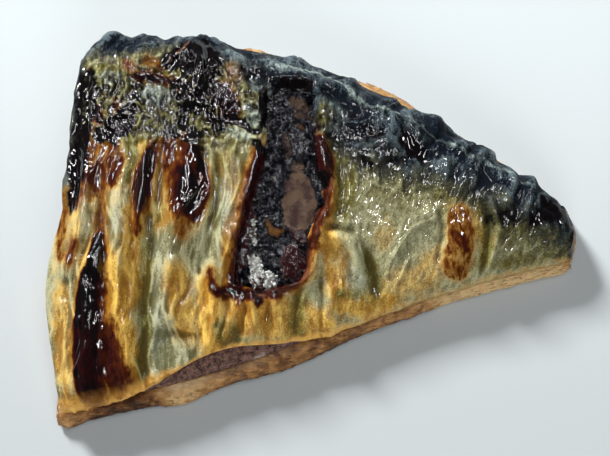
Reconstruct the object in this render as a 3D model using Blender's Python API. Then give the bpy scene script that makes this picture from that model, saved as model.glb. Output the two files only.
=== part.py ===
"""Tail half of a grilled mackerel fillet, lying skin side up.

Three solids lie over each other as they do in the fish: the flesh, which rests
on its flat underside, the dark meat over it, and the blistered skin on top.
The skin has burst open over the flank, and has shrunk back from part of the
belly edge, so the dark meat shows in both places.

+X runs from the knife cut to the tail, +Y from the belly to the back, +Z up.
The origin is on the underside, below the middle of the whole. Sizes are in
millimetres and become metres when a mesh is made.
"""

import bmesh
import bpy
import numpy as np

MM = 0.001

# The outline, seen from above.
CUT_X = -51.3  # where the knife cut meets the belly edge
CUT_BACK_X = -49.5
TAIL_X = 55.0
LENGTH = TAIL_X - CUT_X
CUT_BELLY_Y = -43.4
CUT_BACK_Y = 43.4
TAIL_BELLY_Y = -10.6
TAIL_BACK_Y = 2.8
CUT_BULGE = 1.9  # how far the cut end bows out past its corners
CUT_SWELL = 3.0  # and how much further where the flank is fullest
TAIL_BULGE = 1.6

# Heights over the flat underside.
CREST_HEIGHT = 15.5  # of the skin at its highest line, at the cut
CREST_FALL = 7.0  # from there to the tail
BELLY_HEIGHT = 7.5  # of the skin just inside its belly edge
EDGE_HEIGHT = 4.0  # of the skin's lowest edge
CREST_AT = 0.74  # share of the way from the belly to the back
CREST_SHARPNESS = 1.15
BACK_SAG = 0.06  # share of its height that the skin has lost at the back edge

# How far in from each edge the skin turns down, and the most of the width
# that this takes up where the piece is narrow.
BELLY_ROUNDING = 4.5
BACK_ROUNDING = 11.0
BELLY_ROUNDING_SHARE = 0.38
BACK_ROUNDING_SHARE = 0.45
CUT_ROUNDING = 8.0
TAIL_ROUNDING = 6.0
CUT_DROP = 0.24  # share of its height that the skin loses at the cut

# The layers.
SKIN_THICKNESS = 0.9
LAYER_GAP = 0.4
ROUNDING_LOSS = 0.9  # how much tighter each layer turns down, by its depth
TAIL_INSET = 1.4  # a layer this many times its depth ends short of the tail
DARK_THICKNESS = 1.4
LATERAL_WEDGE = 1.9  # extra dark meat along the middle of the flank
LATERAL_AT = 0.52
LATERAL_WIDTH = 0.16

# The flesh that stands out past the skin, near the underside.
FLARE = 1.5
SHELF_HEIGHT = 3.2
SHELF_SLOPE = 0.1  # how much higher the shelf is where the flesh's rim meets it
RIM_DEPTH = 0.5
FOOT_ROUNDING = 0.5
WALL = ((0.15, SHELF_HEIGHT), (0.8, 1.9), (1.0, 0.9))  # share of the flare, height
FLAKE_RELIEF = 0.22
FLAKE_LENGTH = 5.2  # of one flake, along the side

# Where the skin has shrunk back from the belly edge.
SHRUNK_X = -19.0
SHRUNK_WIDTH = 13.0
SHRUNK_DEPTH = 4.4

# The burst: a line down the flank and how wide the skin gapes along it.
BURST_LINE = ((-5, 25), (-5, 16), (-5, 9), (-4.7, 3), (-6.2, -4), (-8.2, -10), (-9.8, -15))
BURST_HALF_WIDTHS = (4.4, 5.0, 5.4, 7.0, 6.7, 6.6, 5.2)
BURST_END = 0.55  # length of its round ends, as a share of their half width
BURST_LIP = 1.3
BURST_LIP_WIDTH = 1.7
CRUST_CRAG = 0.35

# Folds that the heat raised in the skin: the line of each, its half width and
# its height. The first run down the flank, the last ones cross the back edge.
FLANK_FOLDS = (
    (((-40.5, 6), (-41, -10), (-39.6, -22), (-38.5, -34)), 2.6, 1.5),
    (((-48.6, 10), (-48.4, -4), (-51, -14)), 1.6, 1.0),
    (((-51.2, 34), (-52.4, 14), (-53.2, 2)), 1.6, 1.2),
    (((-46, -8), (-46.4, -22), (-46, -38)), 2.4, 1.0),
    (((-36, 14), (-36.4, 2), (-37.4, -6)), 1.6, 1.1),
    (((-26, 14), (-27.4, 3), (-30, -10), (-30.4, -24)), 2.8, 1.5),
    (((-17, 12), (-17.8, 0), (-20.4, -14), (-21, -28)), 2.2, 1.0),
    (((-12, -19), (-13, -26)), 2.2, 1.1),
    (((3.4, -17), (3.0, -26)), 2.0, 0.9),
    (((0.5, -6), (7, -7.4), (10, -14)), 2.0, 1.0),
    (((28, 1), (21, -3), (15.6, -12)), 1.6, 0.9),
    (((30.4, -1), (30.6, -7), (30.2, -13)), 3.6, 1.6),
    (((-28, 40), (-24.6, 34), (-26.6, 24)), 3.0, 2.0),
)
BACK_FOLDS = (
    (((-47, 47), (-45, 40)), 2.6, 1.8),
    (((-38, 47), (-37, 38)), 2.4, 1.2),
    (((-32, 47), (-31, 41)), 1.8, 1.4),
    (((-25, 47), (-25, 38)), 2.4, 1.7),
    (((-3, 42), (-4, 34)), 2.6, 0.9),
    (((10, 38), (8, 31)), 2.2, 0.9),
    (((28.6, 26), (26, 18)), 2.2, 1.4),
    (((38.4, 19), (35, 12)), 2.2, 1.5),
    (((48.8, 11), (46, 5)), 2.0, 1.3),
)

# Faces along and across each layer.
SKIN_GRID = (56, 33)
DARK_GRID = (33, 19)
FLESH_GRID = (39, 23)
BELLY_ROWS, BACK_ROWS, TAIL_ROWS = 3, 5, 3  # of them, where the skin turns down

COLOURS = {
    "flesh": (0.46, 0.24, 0.09),
    "dark_meat": (0.12, 0.075, 0.06),
    "skin": (0.42, 0.36, 0.20),
}


def clear_scene():
    """Removes what the startup file holds."""
    for obj in list(bpy.data.objects):
        bpy.data.objects.remove(obj)


def smooth(t):
    """Eases from 0 to 1 as t does."""
    t = np.clip(t, 0.0, 1.0)
    return t * t * (3 - 2 * t)


def bell(x, middle, width):
    return np.exp(-(((x - middle) / width) ** 2))


def belly_edge(s):
    """Belly edge from the cut, s = 0, to the tail, s = 1."""
    x = CUT_X + (TAIL_X - CUT_X) * s
    y = CUT_BELLY_Y + (TAIL_BELLY_Y - CUT_BELLY_Y) * s
    sag = 0.9 * np.sin(np.pi * s) + 1.6 * np.sin(2 * np.pi * s)
    return np.stack([x, y - sag + FLARE], -1)


def back_edge(s):
    """Back edge: level at first, then falling ever faster to the tail."""
    x = CUT_BACK_X + (TAIL_X - CUT_BACK_X) * s
    fall = np.clip((s - 0.16) / 0.84, 0, 1) ** 1.85
    return np.stack([x, CUT_BACK_Y + (TAIL_BACK_Y - CUT_BACK_Y) * fall], -1)


def end_edge(s_end, t, bow):
    """Edge across one end, t = 0 at the belly and 1 at the back."""
    start, stop = belly_edge(np.array(s_end)), back_edge(np.array(s_end))
    t = np.asarray(t, float)[..., None]
    return start + (stop - start) * t + bow * np.array([1.0, 0.0])


def cut_edge(t):
    bow = CUT_BULGE * (1 - (2 * t - 1) ** 6) + CUT_SWELL * bell(t, 0.3, 0.17)
    return end_edge(0.0, t, -bow[..., None])


def tail_edge(t):
    bow = TAIL_BULGE * np.sin(np.pi * np.clip(t, 0, 1)) ** 0.8
    return end_edge(1.0, t, bow[..., None])


def plan(u, v):
    """Point in the outline: u from the cut to the tail, v from belly to back.

    A patch that blends the four edges, so that it follows them all.
    """
    corners = [belly_edge(np.array(s)) for s in (0.0, 1.0)]
    corners += [back_edge(np.array(s)) for s in (0.0, 1.0)]
    along = (1 - v)[..., None] * belly_edge(u) + v[..., None] * back_edge(u)
    across = (1 - u)[..., None] * cut_edge(v) + u[..., None] * tail_edge(v)
    both = (
        ((1 - u) * (1 - v))[..., None] * corners[0]
        + (u * (1 - v))[..., None] * corners[1]
        + ((1 - u) * v)[..., None] * corners[2]
        + (u * v)[..., None] * corners[3]
    )
    return along + across - both


def width_at(u):
    """Width from belly to back at u."""
    return np.linalg.norm(back_edge(u) - belly_edge(u), axis=-1)


def back_slant(u):
    """Cosine of the angle that the back edge makes with X, seen from above."""
    along = back_edge(u + 0.01) - back_edge(u - 0.01)
    return along[..., 0] / np.linalg.norm(along, axis=-1)


def back_rounding(u):
    return np.minimum(BACK_ROUNDING, BACK_ROUNDING_SHARE * width_at(u))


def belly_rounding(u):
    return np.minimum(BELLY_ROUNDING, BELLY_ROUNDING_SHARE * width_at(u))


def round_rise(distance, width):
    """Quarter ellipse: 0 at the edge, 1 from the given width inwards."""
    inward = 1 - np.clip(distance / width, 0, 1)
    return np.sqrt(np.maximum(0.0, 1 - inward**2))


def dome(u, v):
    """Height of the skin before its edges turn down."""
    crest = CREST_HEIGHT - CREST_FALL * (0.22 * u + 0.78 * u**3)
    low = BELLY_HEIGHT - u
    up = np.sin(np.pi / 2 * np.clip(v / CREST_AT, 0, 1)) ** CREST_SHARPNESS
    down = 1 - BACK_SAG * smooth((v - CREST_AT) / (1 - CREST_AT))
    return low + (crest - low) * up * down


def lateral_wedge(u, v):
    """How much deeper the dark meat reaches along the middle of the flank."""
    return LATERAL_WEDGE * bell(v, LATERAL_AT, LATERAL_WIDTH) * smooth(3 * (1 - u))


def layer_point(u, v, depth):
    """Point of the surface that lies at this depth under the skin's face.

    A deeper layer is the same form with its edges drawn in, except at the
    cut, where all layers end together.
    """
    width = width_at(u)
    tighter = ROUNDING_LOSS * depth
    belly = round_rise(v * width - depth, belly_rounding(u) - tighter)
    from_back = (1 - v) * width * back_slant(u)
    back = round_rise(from_back - depth, back_rounding(u) - tighter)
    from_tail = (1 - u) * LENGTH - TAIL_INSET * depth
    tail = round_rise(from_tail, TAIL_ROUNDING - tighter)
    cut = 1 - CUT_DROP * np.clip(1 - u * LENGTH / CUT_ROUNDING, 0, 1) ** 2
    rise = (dome(u, v) - depth - EDGE_HEIGHT) * belly * back * tail * cut
    xy = plan(u, v)
    return np.concatenate([xy, (EDGE_HEIGHT + rise)[..., None]], -1)


def spread(count, first, first_rows, last, last_rows):
    """Parameters 0 to 1 that lie closer where the form turns down.

    The first and the last bands, as wide as given, take that many rows each,
    spaced as equal angles of a quarter circle.
    """
    if first_rows:
        angles = np.linspace(0, np.pi / 2, first_rows + 1)
        start = first * (1 - np.cos(angles))
    else:
        start = np.array([0.0])
    angles = np.linspace(np.pi / 2, 0, last_rows + 1)
    end = 1 - last * (1 - np.cos(angles))
    middle = np.linspace(start[-1], end[0], count - first_rows - last_rows + 1)
    return np.concatenate([start[:-1], middle, end[1:]])


def layer_params(grid, depth, bare=None):
    """u and v of a layer's grid of points, drawn in from the edges by depth.

    bare gives, for each u, how much of the belly side the layer leaves bare.
    """
    columns, rows = grid
    tighter = ROUNDING_LOSS * depth
    u = spread(columns, 0.0, 0, (TAIL_ROUNDING - tighter) / LENGTH, TAIL_ROWS)
    u *= 1 - TAIL_INSET * depth / LENGTH
    v = np.empty((columns + 1, rows + 1))
    for i, at in enumerate(u):
        width = float(width_at(np.array(at)))
        low = depth / width
        if bare is not None:
            low = max(low, float(bare(at)) / width)
        level = width * float(back_slant(np.array(at)))
        span = 1 - depth / level - low
        back = (float(back_rounding(np.array(at))) - tighter) / level / span
        belly = (float(belly_rounding(np.array(at))) - tighter) / width / span
        v[i] = low + span * spread(rows, belly, BELLY_ROWS, back, BACK_ROWS)
    return np.repeat(u[:, None], rows + 1, 1), v


def curve_through(points, count=24):
    """Points along a smooth curve through the given ones."""
    points = np.array(points, float)
    ends = [2 * points[0] - points[1], 2 * points[-1] - points[-2]]
    points = np.concatenate([ends[:1], points, ends[1:]])
    made = []
    for at in np.linspace(0, len(points) - 3, count):
        i = min(int(at), len(points) - 4)
        t = at - i
        a, b, c, d = points[i : i + 4]
        made.append(
            0.5
            * (
                2 * b
                + (c - a) * t
                + (2 * a - 5 * b + 4 * c - d) * t**2
                + (3 * b - a - 3 * c + d) * t**3
            )
        )
    return np.array(made)


def distance_to(line, xy):
    """Distance from each point to a line, and how far along the line it is."""
    gaps = np.linalg.norm(xy[..., None, :] - line, axis=-1)
    return gaps.min(-1), gaps.argmin(-1) / (len(line) - 1)


def burst_gap(xy):
    """Distance from the edge of the burst, below 0 inside it."""
    distance, along = distance_to(curve_through(BURST_LINE, 60), xy)
    stops = np.linspace(0, 1, len(BURST_HALF_WIDTHS))
    return distance - np.interp(along, stops, BURST_HALF_WIDTHS)


def skin_relief(xy):
    """How far the skin is raised over its smooth form."""
    raised = BURST_LIP * bell(np.maximum(burst_gap(xy), 0), 0, BURST_LIP_WIDTH)
    for points, half_width, height in FLANK_FOLDS + BACK_FOLDS:
        distance, along = distance_to(curve_through(points), xy)
        taper = 0.35 + 0.65 * np.sin(np.pi * np.clip(along, 0.05, 0.95))
        raised = np.maximum(raised, height * taper * bell(distance, 0, half_width))
    return raised


def outward(u, v):
    """Direction square to the skin, worked out just inside its edges."""
    step = 0.0015
    u = np.clip(u, step, 1 - 2 * step)
    v = np.clip(v, 2 * step, 1 - 2 * step)
    along = layer_point(u + step, v, 0.0) - layer_point(u - step, v, 0.0)
    across = layer_point(u, v + step, 0.0) - layer_point(u, v - step, 0.0)
    square = np.cross(along, across)
    return square / np.linalg.norm(square, axis=-1, keepdims=True)


def layer_sheet(grid, depth, bare=None):
    """Grid of points of the surface at this depth, with its u and v."""
    u, v = layer_params(grid, depth, bare)
    return layer_point(u, v, depth), u, v


def add_sheet(bm, points):
    """Adds a grid of points as faces that look up, and returns its vertices."""
    verts = [[bm.verts.new(p * MM) for p in row] for row in points]
    for i in range(len(verts) - 1):
        for j in range(len(verts[0]) - 1):
            corners = (verts[i][j], verts[i + 1][j], verts[i + 1][j + 1], verts[i][j + 1])
            bm.faces.new(corners)
    return verts


def rim_of(grid):
    """The outer loop of a grid of vertices or points, seen from above."""
    along_belly = [row[0] for row in grid]
    up_tail = list(grid[-1][1:])
    along_back = [row[-1] for row in grid[-2::-1]]
    down_cut = list(grid[0][-2:0:-1])
    return along_belly + up_tail + along_back + down_cut


def bridge(bm, upper, lower):
    """Joins two loops of as many vertices with a band that looks outwards."""
    for k in range(len(upper)):
        n = (k + 1) % len(upper)
        bm.faces.new((upper[n], upper[k], lower[k], lower[n]))


def new_object(name, bm):
    """Makes the object of a finished mesh, with its own material."""
    mesh = bpy.data.meshes.new(name)
    bm.to_mesh(mesh)
    bm.free()
    obj = bpy.data.objects.new(name, mesh)
    bpy.context.scene.collection.objects.link(obj)
    if name in COLOURS:
        material = bpy.data.materials.new(name)
        material.use_nodes = True
        shader = material.node_tree.nodes["Principled BSDF"]
        shader.inputs["Base Color"].default_value = (*COLOURS[name], 1)
        shader.inputs["Roughness"].default_value = 0.35
        shader.inputs["Metallic"].default_value = 0.0
        mesh.materials.append(material)
        mesh.shade_smooth()
    return obj


def shrunk_back(u):
    """Width of the strip along the belly that the skin leaves bare."""
    x = belly_edge(np.array(u))[0]
    strip = SHRUNK_DEPTH * bell(x, SHRUNK_X, SHRUNK_WIDTH)
    return strip * smooth((x - CUT_X) / SHRUNK_WIDTH)


def make_skin():
    """The skin: a sheet with its folds and lips, made thick, then cut open."""
    points, u, v = layer_sheet(SKIN_GRID, 0.0, shrunk_back)
    points += outward(u, v) * skin_relief(points[..., :2])[..., None]
    bm = bmesh.new()
    add_sheet(bm, points)
    skin = new_object("skin", bm)
    shell = skin.modifiers.new("thickness", "SOLIDIFY")
    shell.thickness = SKIN_THICKNESS * MM
    shell.offset = -1
    shell.use_rim = True
    cut = skin.modifiers.new("burst", "BOOLEAN")
    cut.operation = "DIFFERENCE"
    cut.solver = "EXACT"
    cut.object = make_burst_cutter()
    return skin


def round_end(aside, along, turn):
    """Point on the blunt half ellipse that closes one end of the burst."""
    return aside * np.cos(turn) + BURST_END * along * np.sin(turn)


def make_burst_cutter():
    """An upright prism with the burst's outline, tall enough to clear the skin."""
    line = curve_through(BURST_LINE, 16)
    stops = np.linspace(0, 1, len(BURST_HALF_WIDTHS))
    half = np.interp(np.linspace(0, 1, len(line)), stops, BURST_HALF_WIDTHS)[:, None]
    along = np.gradient(line, axis=0)
    along /= np.linalg.norm(along, axis=1, keepdims=True)
    aside = np.stack([-along[:, 1], along[:, 0]], 1)
    outline = [*(line + aside * half)]
    for turn in np.linspace(0, np.pi, 6)[1:-1]:
        outline.append(line[-1] + half[-1] * round_end(aside[-1], along[-1], turn))
    outline += [*(line - aside * half)[::-1]]
    for turn in np.linspace(0, np.pi, 6)[1:-1]:
        outline.append(line[0] - half[0] * round_end(aside[0], along[0], turn))
    bm = bmesh.new()
    foot = [bm.verts.new((x * MM, y * MM, EDGE_HEIGHT * MM)) for x, y in outline]
    face = bm.faces.new(foot)
    raised = bmesh.ops.extrude_face_region(bm, geom=[face])["geom"]
    top = [v for v in raised if isinstance(v, bmesh.types.BMVert)]
    bmesh.ops.translate(bm, verts=top, vec=(0, 0, 2 * CREST_HEIGHT * MM))
    bmesh.ops.recalc_face_normals(bm, faces=bm.faces)
    cutter = new_object("burst_cutter", bm)
    cutter.hide_render = True
    cutter.display_type = "WIRE"
    return cutter


def crust_relief(xy):
    """Crags of the charred crust on the dark meat, inside the burst."""
    x, y = xy[..., 0], xy[..., 1]
    crags = np.sin(1.9 * x + 0.6 * y) * np.sin(1.3 * y - 0.7 * x)
    return CRUST_CRAG * crags * smooth(-burst_gap(xy) / 2)


def make_dark_meat():
    """The dark meat: thin under the skin, thicker along the lateral line."""
    depth = SKIN_THICKNESS + LAYER_GAP
    top, _, _ = layer_sheet(DARK_GRID, depth)
    top[..., 2] += crust_relief(top[..., :2])
    under, u, v = layer_sheet(DARK_GRID, depth + DARK_THICKNESS)
    under[..., 2] -= lateral_wedge(u, v)
    bm = bmesh.new()
    upper = rim_of(add_sheet(bm, top))
    lower = rim_of(add_sheet(bm, under))
    bridge(bm, upper, lower)
    bmesh.ops.recalc_face_normals(bm, faces=bm.faces)
    return new_object("dark_meat", bm)


def flare_at(x, y, side):
    """How far the flesh stands out past the skin, near its foot."""
    if side == "belly":
        lumps = 1.3 * bell(x, -54, 6) + 1.3 * bell(x, -28, 4.5) + 1.1 * bell(x, -5, 8)
        return FLARE + lumps
    if side == "back":
        return 1.2 + 2.4 * bell(x, 15, 9) + 1.8 * bell(x, -14, 5)
    return 0.4 + 1.8 * bell(y, -44, 6) if side == "cut" else 0.3


def make_flesh():
    """The flesh: a domed top under the dark meat and sides down to its foot."""
    depth = SKIN_THICKNESS + DARK_THICKNESS + 2 * LAYER_GAP
    top, u, v = layer_sheet(FLESH_GRID, depth)
    top[..., 2] -= lateral_wedge(u, v)
    bm = bmesh.new()
    rim = rim_of(add_sheet(bm, top))
    for points in flesh_side_loops(u, v, top):
        lower = [bm.verts.new(p * MM) for p in points]
        bridge(bm, rim, lower)
        rim = lower
    bm.faces.new(rim[::-1])
    return new_object("flesh", bm)


def flesh_side_loops(u, v, top):
    """The loops of points from under the rim of the flesh down to its foot."""
    columns, rows = u.shape[0] - 1, u.shape[1] - 1
    sides = ["belly"] * columns + ["tail"] * rows + ["back"] * columns + ["cut"] * rows
    rim_u, rim_v = np.array(rim_of(u)), np.array(rim_of(v))
    rim_top = np.array(rim_of(top))
    edge_u = rim_u / rim_u.max()
    low, high = v[:, 0], v[:, -1]
    column_of = np.array(rim_of(np.repeat(np.arange(columns + 1)[:, None], rows + 1, 1)))
    edge_v = (rim_v - low[column_of]) / (high - low)[column_of]
    edge = plan(edge_u, edge_v)
    tangent = np.roll(edge, -1, 0) - np.roll(edge, 1, 0)
    out = np.stack([tangent[:, 1], -tangent[:, 0]], 1)
    out /= np.linalg.norm(out, axis=1, keepdims=True)
    flare = np.array([flare_at(x, y, side) for (x, y), side in zip(edge, sides)])
    flare = (np.roll(flare, 1) + 2 * flare + np.roll(flare, -1)) / 4
    around = np.cumsum(np.linalg.norm(np.diff(edge, axis=0, append=edge[:1]), axis=1))
    under_rim = rim_top.copy()
    under_rim[:, 2] = np.minimum(rim_top[:, 2] - RIM_DEPTH, SHELF_HEIGHT + SHELF_SLOPE)
    loops = [under_rim]
    for share, height in WALL:
        flakes = np.sin(2 * np.pi * around / FLAKE_LENGTH + 2.2 * height)
        reach = flare * share + FLAKE_RELIEF * flakes
        loops.append(with_height(edge + out * reach[:, None], height))
    loops.append(with_height(edge + out * (flare - FOOT_ROUNDING)[:, None], 0.0))
    return loops


def with_height(xy, height):
    return np.concatenate([xy, np.full((len(xy), 1), height)], 1)


def main():
    clear_scene()
    make_flesh()
    make_dark_meat()
    make_skin()


main()
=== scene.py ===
"""Dresses the tail half of a grilled mackerel fillet, skin side up.

The three solids of the frame are replaced by finished pieces of the same form:
the flesh with its flakes, the dark meat with the charred crust that shows in
the burst, and the blistered skin. Sizes are millimetres until a mesh is made.
"""

import logging
import math
from dataclasses import dataclass, field
from enum import Enum

import bmesh
import bpy
import numpy as np
from bpy.types import Material, Mesh, Node, NodeSocket as Socket, NodeTree, Object
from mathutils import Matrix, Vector


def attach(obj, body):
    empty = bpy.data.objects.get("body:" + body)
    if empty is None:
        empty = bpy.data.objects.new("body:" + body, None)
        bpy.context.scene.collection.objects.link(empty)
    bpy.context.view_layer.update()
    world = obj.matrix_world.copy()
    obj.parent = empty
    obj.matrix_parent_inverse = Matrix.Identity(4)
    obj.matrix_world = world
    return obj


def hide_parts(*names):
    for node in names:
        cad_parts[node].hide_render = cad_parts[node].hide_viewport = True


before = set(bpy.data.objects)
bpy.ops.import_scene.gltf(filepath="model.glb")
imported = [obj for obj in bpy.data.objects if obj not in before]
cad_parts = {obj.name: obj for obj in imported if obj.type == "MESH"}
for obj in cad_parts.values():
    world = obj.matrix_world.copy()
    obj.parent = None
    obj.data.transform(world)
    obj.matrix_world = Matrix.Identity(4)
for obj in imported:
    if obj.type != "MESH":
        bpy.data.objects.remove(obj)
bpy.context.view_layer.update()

MM = 0.001
BODY = "root"

LOG = logging.getLogger("fillet")

Points = np.ndarray
Pair = tuple[float, float]
Triple = tuple[float, float, float]
Colour = Triple
Path = tuple[Pair, ...]


# ---- small maths


def smooth(t: Points) -> Points:
    """Ease from 0 to 1 as t does."""
    t = np.clip(t, 0.0, 1.0)
    return t * t * (3 - 2 * t)


def bell(x: Points, middle: float, width: float) -> Points:
    """Bell curve of height 1 round a middle."""
    return np.exp(-(((x - middle) / width) ** 2))


def round_rise(distance: Points, width: Points) -> Points:
    """Quarter ellipse: 0 at an edge, 1 from the given width inwards."""
    inward = 1 - np.clip(distance / width, 0, 1)
    return np.sqrt(np.maximum(0.0, 1 - inward**2))


def blend(a: Points, b: Points, t: Points) -> Points:
    """Mix of a and b, where t = 0 gives a."""
    return a + (b - a) * t


def humps(x: Points, lumps: tuple[Triple, ...], base: float = 0.0) -> Points:
    """Add bells to a base, each given by its height, middle and width."""
    return sum((height * bell(x, middle, width) for height, middle, width in lumps), base)


def blurred(field_: Points, rounds: int) -> Points:
    """Smooth a grid of numbers with its neighbours, this many times."""
    for _ in range(rounds):
        for axis in (0, 1):
            at = np.arange(field_.shape[axis])
            before = field_.take(np.maximum(at - 1, 0), axis)
            after = field_.take(np.minimum(at + 1, at[-1]), axis)
            field_ = (before + 2 * field_ + after) / 4
    return field_


def soft_floor(height: Points, level: float, reach: float) -> Points:
    """Hold heights above level - reach, bending them gently below level."""
    below = np.minimum(height - level, 0)
    return np.where(height < level, level - reach * (1 - np.exp(below / reach)), height)


def soft_ceiling(height: Points, level: float, reach: float) -> Points:
    """Hold heights below level + reach, bending them gently above level."""
    return -soft_floor(-height, -level, reach)


def linear(red: int, green: int, blue: int) -> Colour:
    """Turn a screen colour of 0 to 255 into the linear one that shaders take."""
    scaled = [value / 255 for value in (red, green, blue)]
    made = [c / 12.92 if c <= 0.04045 else ((c + 0.055) / 1.055) ** 2.4 for c in scaled]
    return (made[0], made[1], made[2])


def curve_through(points: Path, count: int) -> Points:
    """Sample a smooth curve through a few points.

    Args:
        points: The points that the curve passes through.
        count: How many samples to make.

    Returns:
        Array of count points.
    """
    given = np.array(points, float)
    first, last = 2 * given[:1] - given[1:2], 2 * given[-1:] - given[-2:-1]
    given = np.concatenate([first, given, last])
    at = np.linspace(0, len(given) - 3, count)
    i = np.minimum(at.astype(int), len(given) - 4)
    t = (at - i)[:, None]
    a, b, c, d = (given[i + k] for k in range(4))
    cubic = 3 * b - a - 3 * c + d
    square = 2 * a - 5 * b + 4 * c - d
    return 0.5 * (2 * b + (c - a) * t + square * t**2 + cubic * t**3)


def distance_to(line: Points, xy: Points) -> tuple[Points, Points, Points]:
    """Measure points against a line of short straight pieces.

    Args:
        line: The line's points.
        xy: Points to measure, any number of axes before the last.

    Returns:
        The distance of each point, how far along the line it lies, 0 to 1, and
        its direction from the line along X, -1 to 1.
    """
    best = np.full(xy.shape[:-1], np.inf)
    along = np.zeros(xy.shape[:-1])
    aside = np.zeros(xy.shape[:-1])
    pieces = len(line) - 1
    for k in range(pieces):
        step = line[k + 1] - line[k]
        offset = xy - line[k]
        t = np.clip(offset @ step / max(step @ step, 1e-9), 0, 1)
        dx, dy = offset[..., 0] - t * step[0], offset[..., 1] - t * step[1]
        gap = np.hypot(dx, dy)
        nearer = gap < best
        best = np.where(nearer, gap, best)
        along = np.where(nearer, (k + t) / pieces, along)
        aside = np.where(nearer, dx / np.maximum(gap, 1e-6), aside)
    return best, along, aside


@dataclass(frozen=True)
class Grain:
    """Smooth seeded noise over the plane, between about -1 and 1."""

    seed: int
    cells: int = 256
    gain: float = 1.5
    finer: float = 2.03

    def __call__(self, x: Points, y: Points) -> Points:
        """Evaluate the noise where one unit is one cell."""
        rng = np.random.default_rng(self.seed)
        order = rng.permutation(self.cells)
        turns = rng.uniform(0, 2 * np.pi, self.cells)
        x0, y0 = np.floor(x).astype(int), np.floor(y).astype(int)
        fx, fy = x - x0, y - y0
        total = np.zeros(np.broadcast(x, y).shape)
        for dx in (0, 1):
            for dy in (0, 1):
                corner = order[(order[(x0 + dx) % self.cells] + y0 + dy) % self.cells]
                slope = np.cos(turns[corner]) * (fx - dx) + np.sin(turns[corner]) * (fy - dy)
                weight = smooth(1 - np.abs(fx - dx)) * smooth(1 - np.abs(fy - dy))
                total = total + slope * weight
        return self.gain * total

    def layered(self, x: Points, y: Points, octaves: int) -> Points:
        """Sum finer and weaker copies of the noise."""
        total, weight, norm = 0.0, 1.0, 0.0
        for octave in range(octaves):
            scale = self.finer**octave
            layer = Grain(self.seed + 17 * octave, self.cells)
            total = total + weight * layer(x * scale, y * scale)
            norm += weight
            weight *= 0.55
        return total / norm

    def ridged(self, x: Points, y: Points, octaves: int) -> Points:
        """Sharp crests, 1 on a crest and falling to 0 between them."""
        total, weight, norm = 0.0, 1.0, 0.0
        for octave in range(octaves):
            scale = self.finer**octave
            layer = Grain(self.seed + 31 * octave, self.cells)
            total = total + weight * (1 - np.abs(layer(x * scale, y * scale))) ** 2
            norm += weight
            weight *= 0.5
        return total / norm


def strayed(xy: Points, seeds: tuple[int, int], reach: Pair, cell: Pair, octaves: int) -> Points:
    """Shift places by smooth noise, so that what is drawn on them looks grown.

    Args:
        xy: Places in the outline.
        seeds: Seeds of the shifts along X and along Y.
        reach: How far a place may move each way.
        cell: Width and length of the noise's lumps.
        octaves: How many layers of noise to sum.

    Returns:
        The shifted places.
    """
    x, y = xy[..., 0] / cell[0], xy[..., 1] / cell[1]
    shifts = [far * Grain(seed).layered(x, y, octaves) for seed, far in zip(seeds, reach)]
    return xy + np.stack(shifts, -1)


# ---- the fish's form


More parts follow.
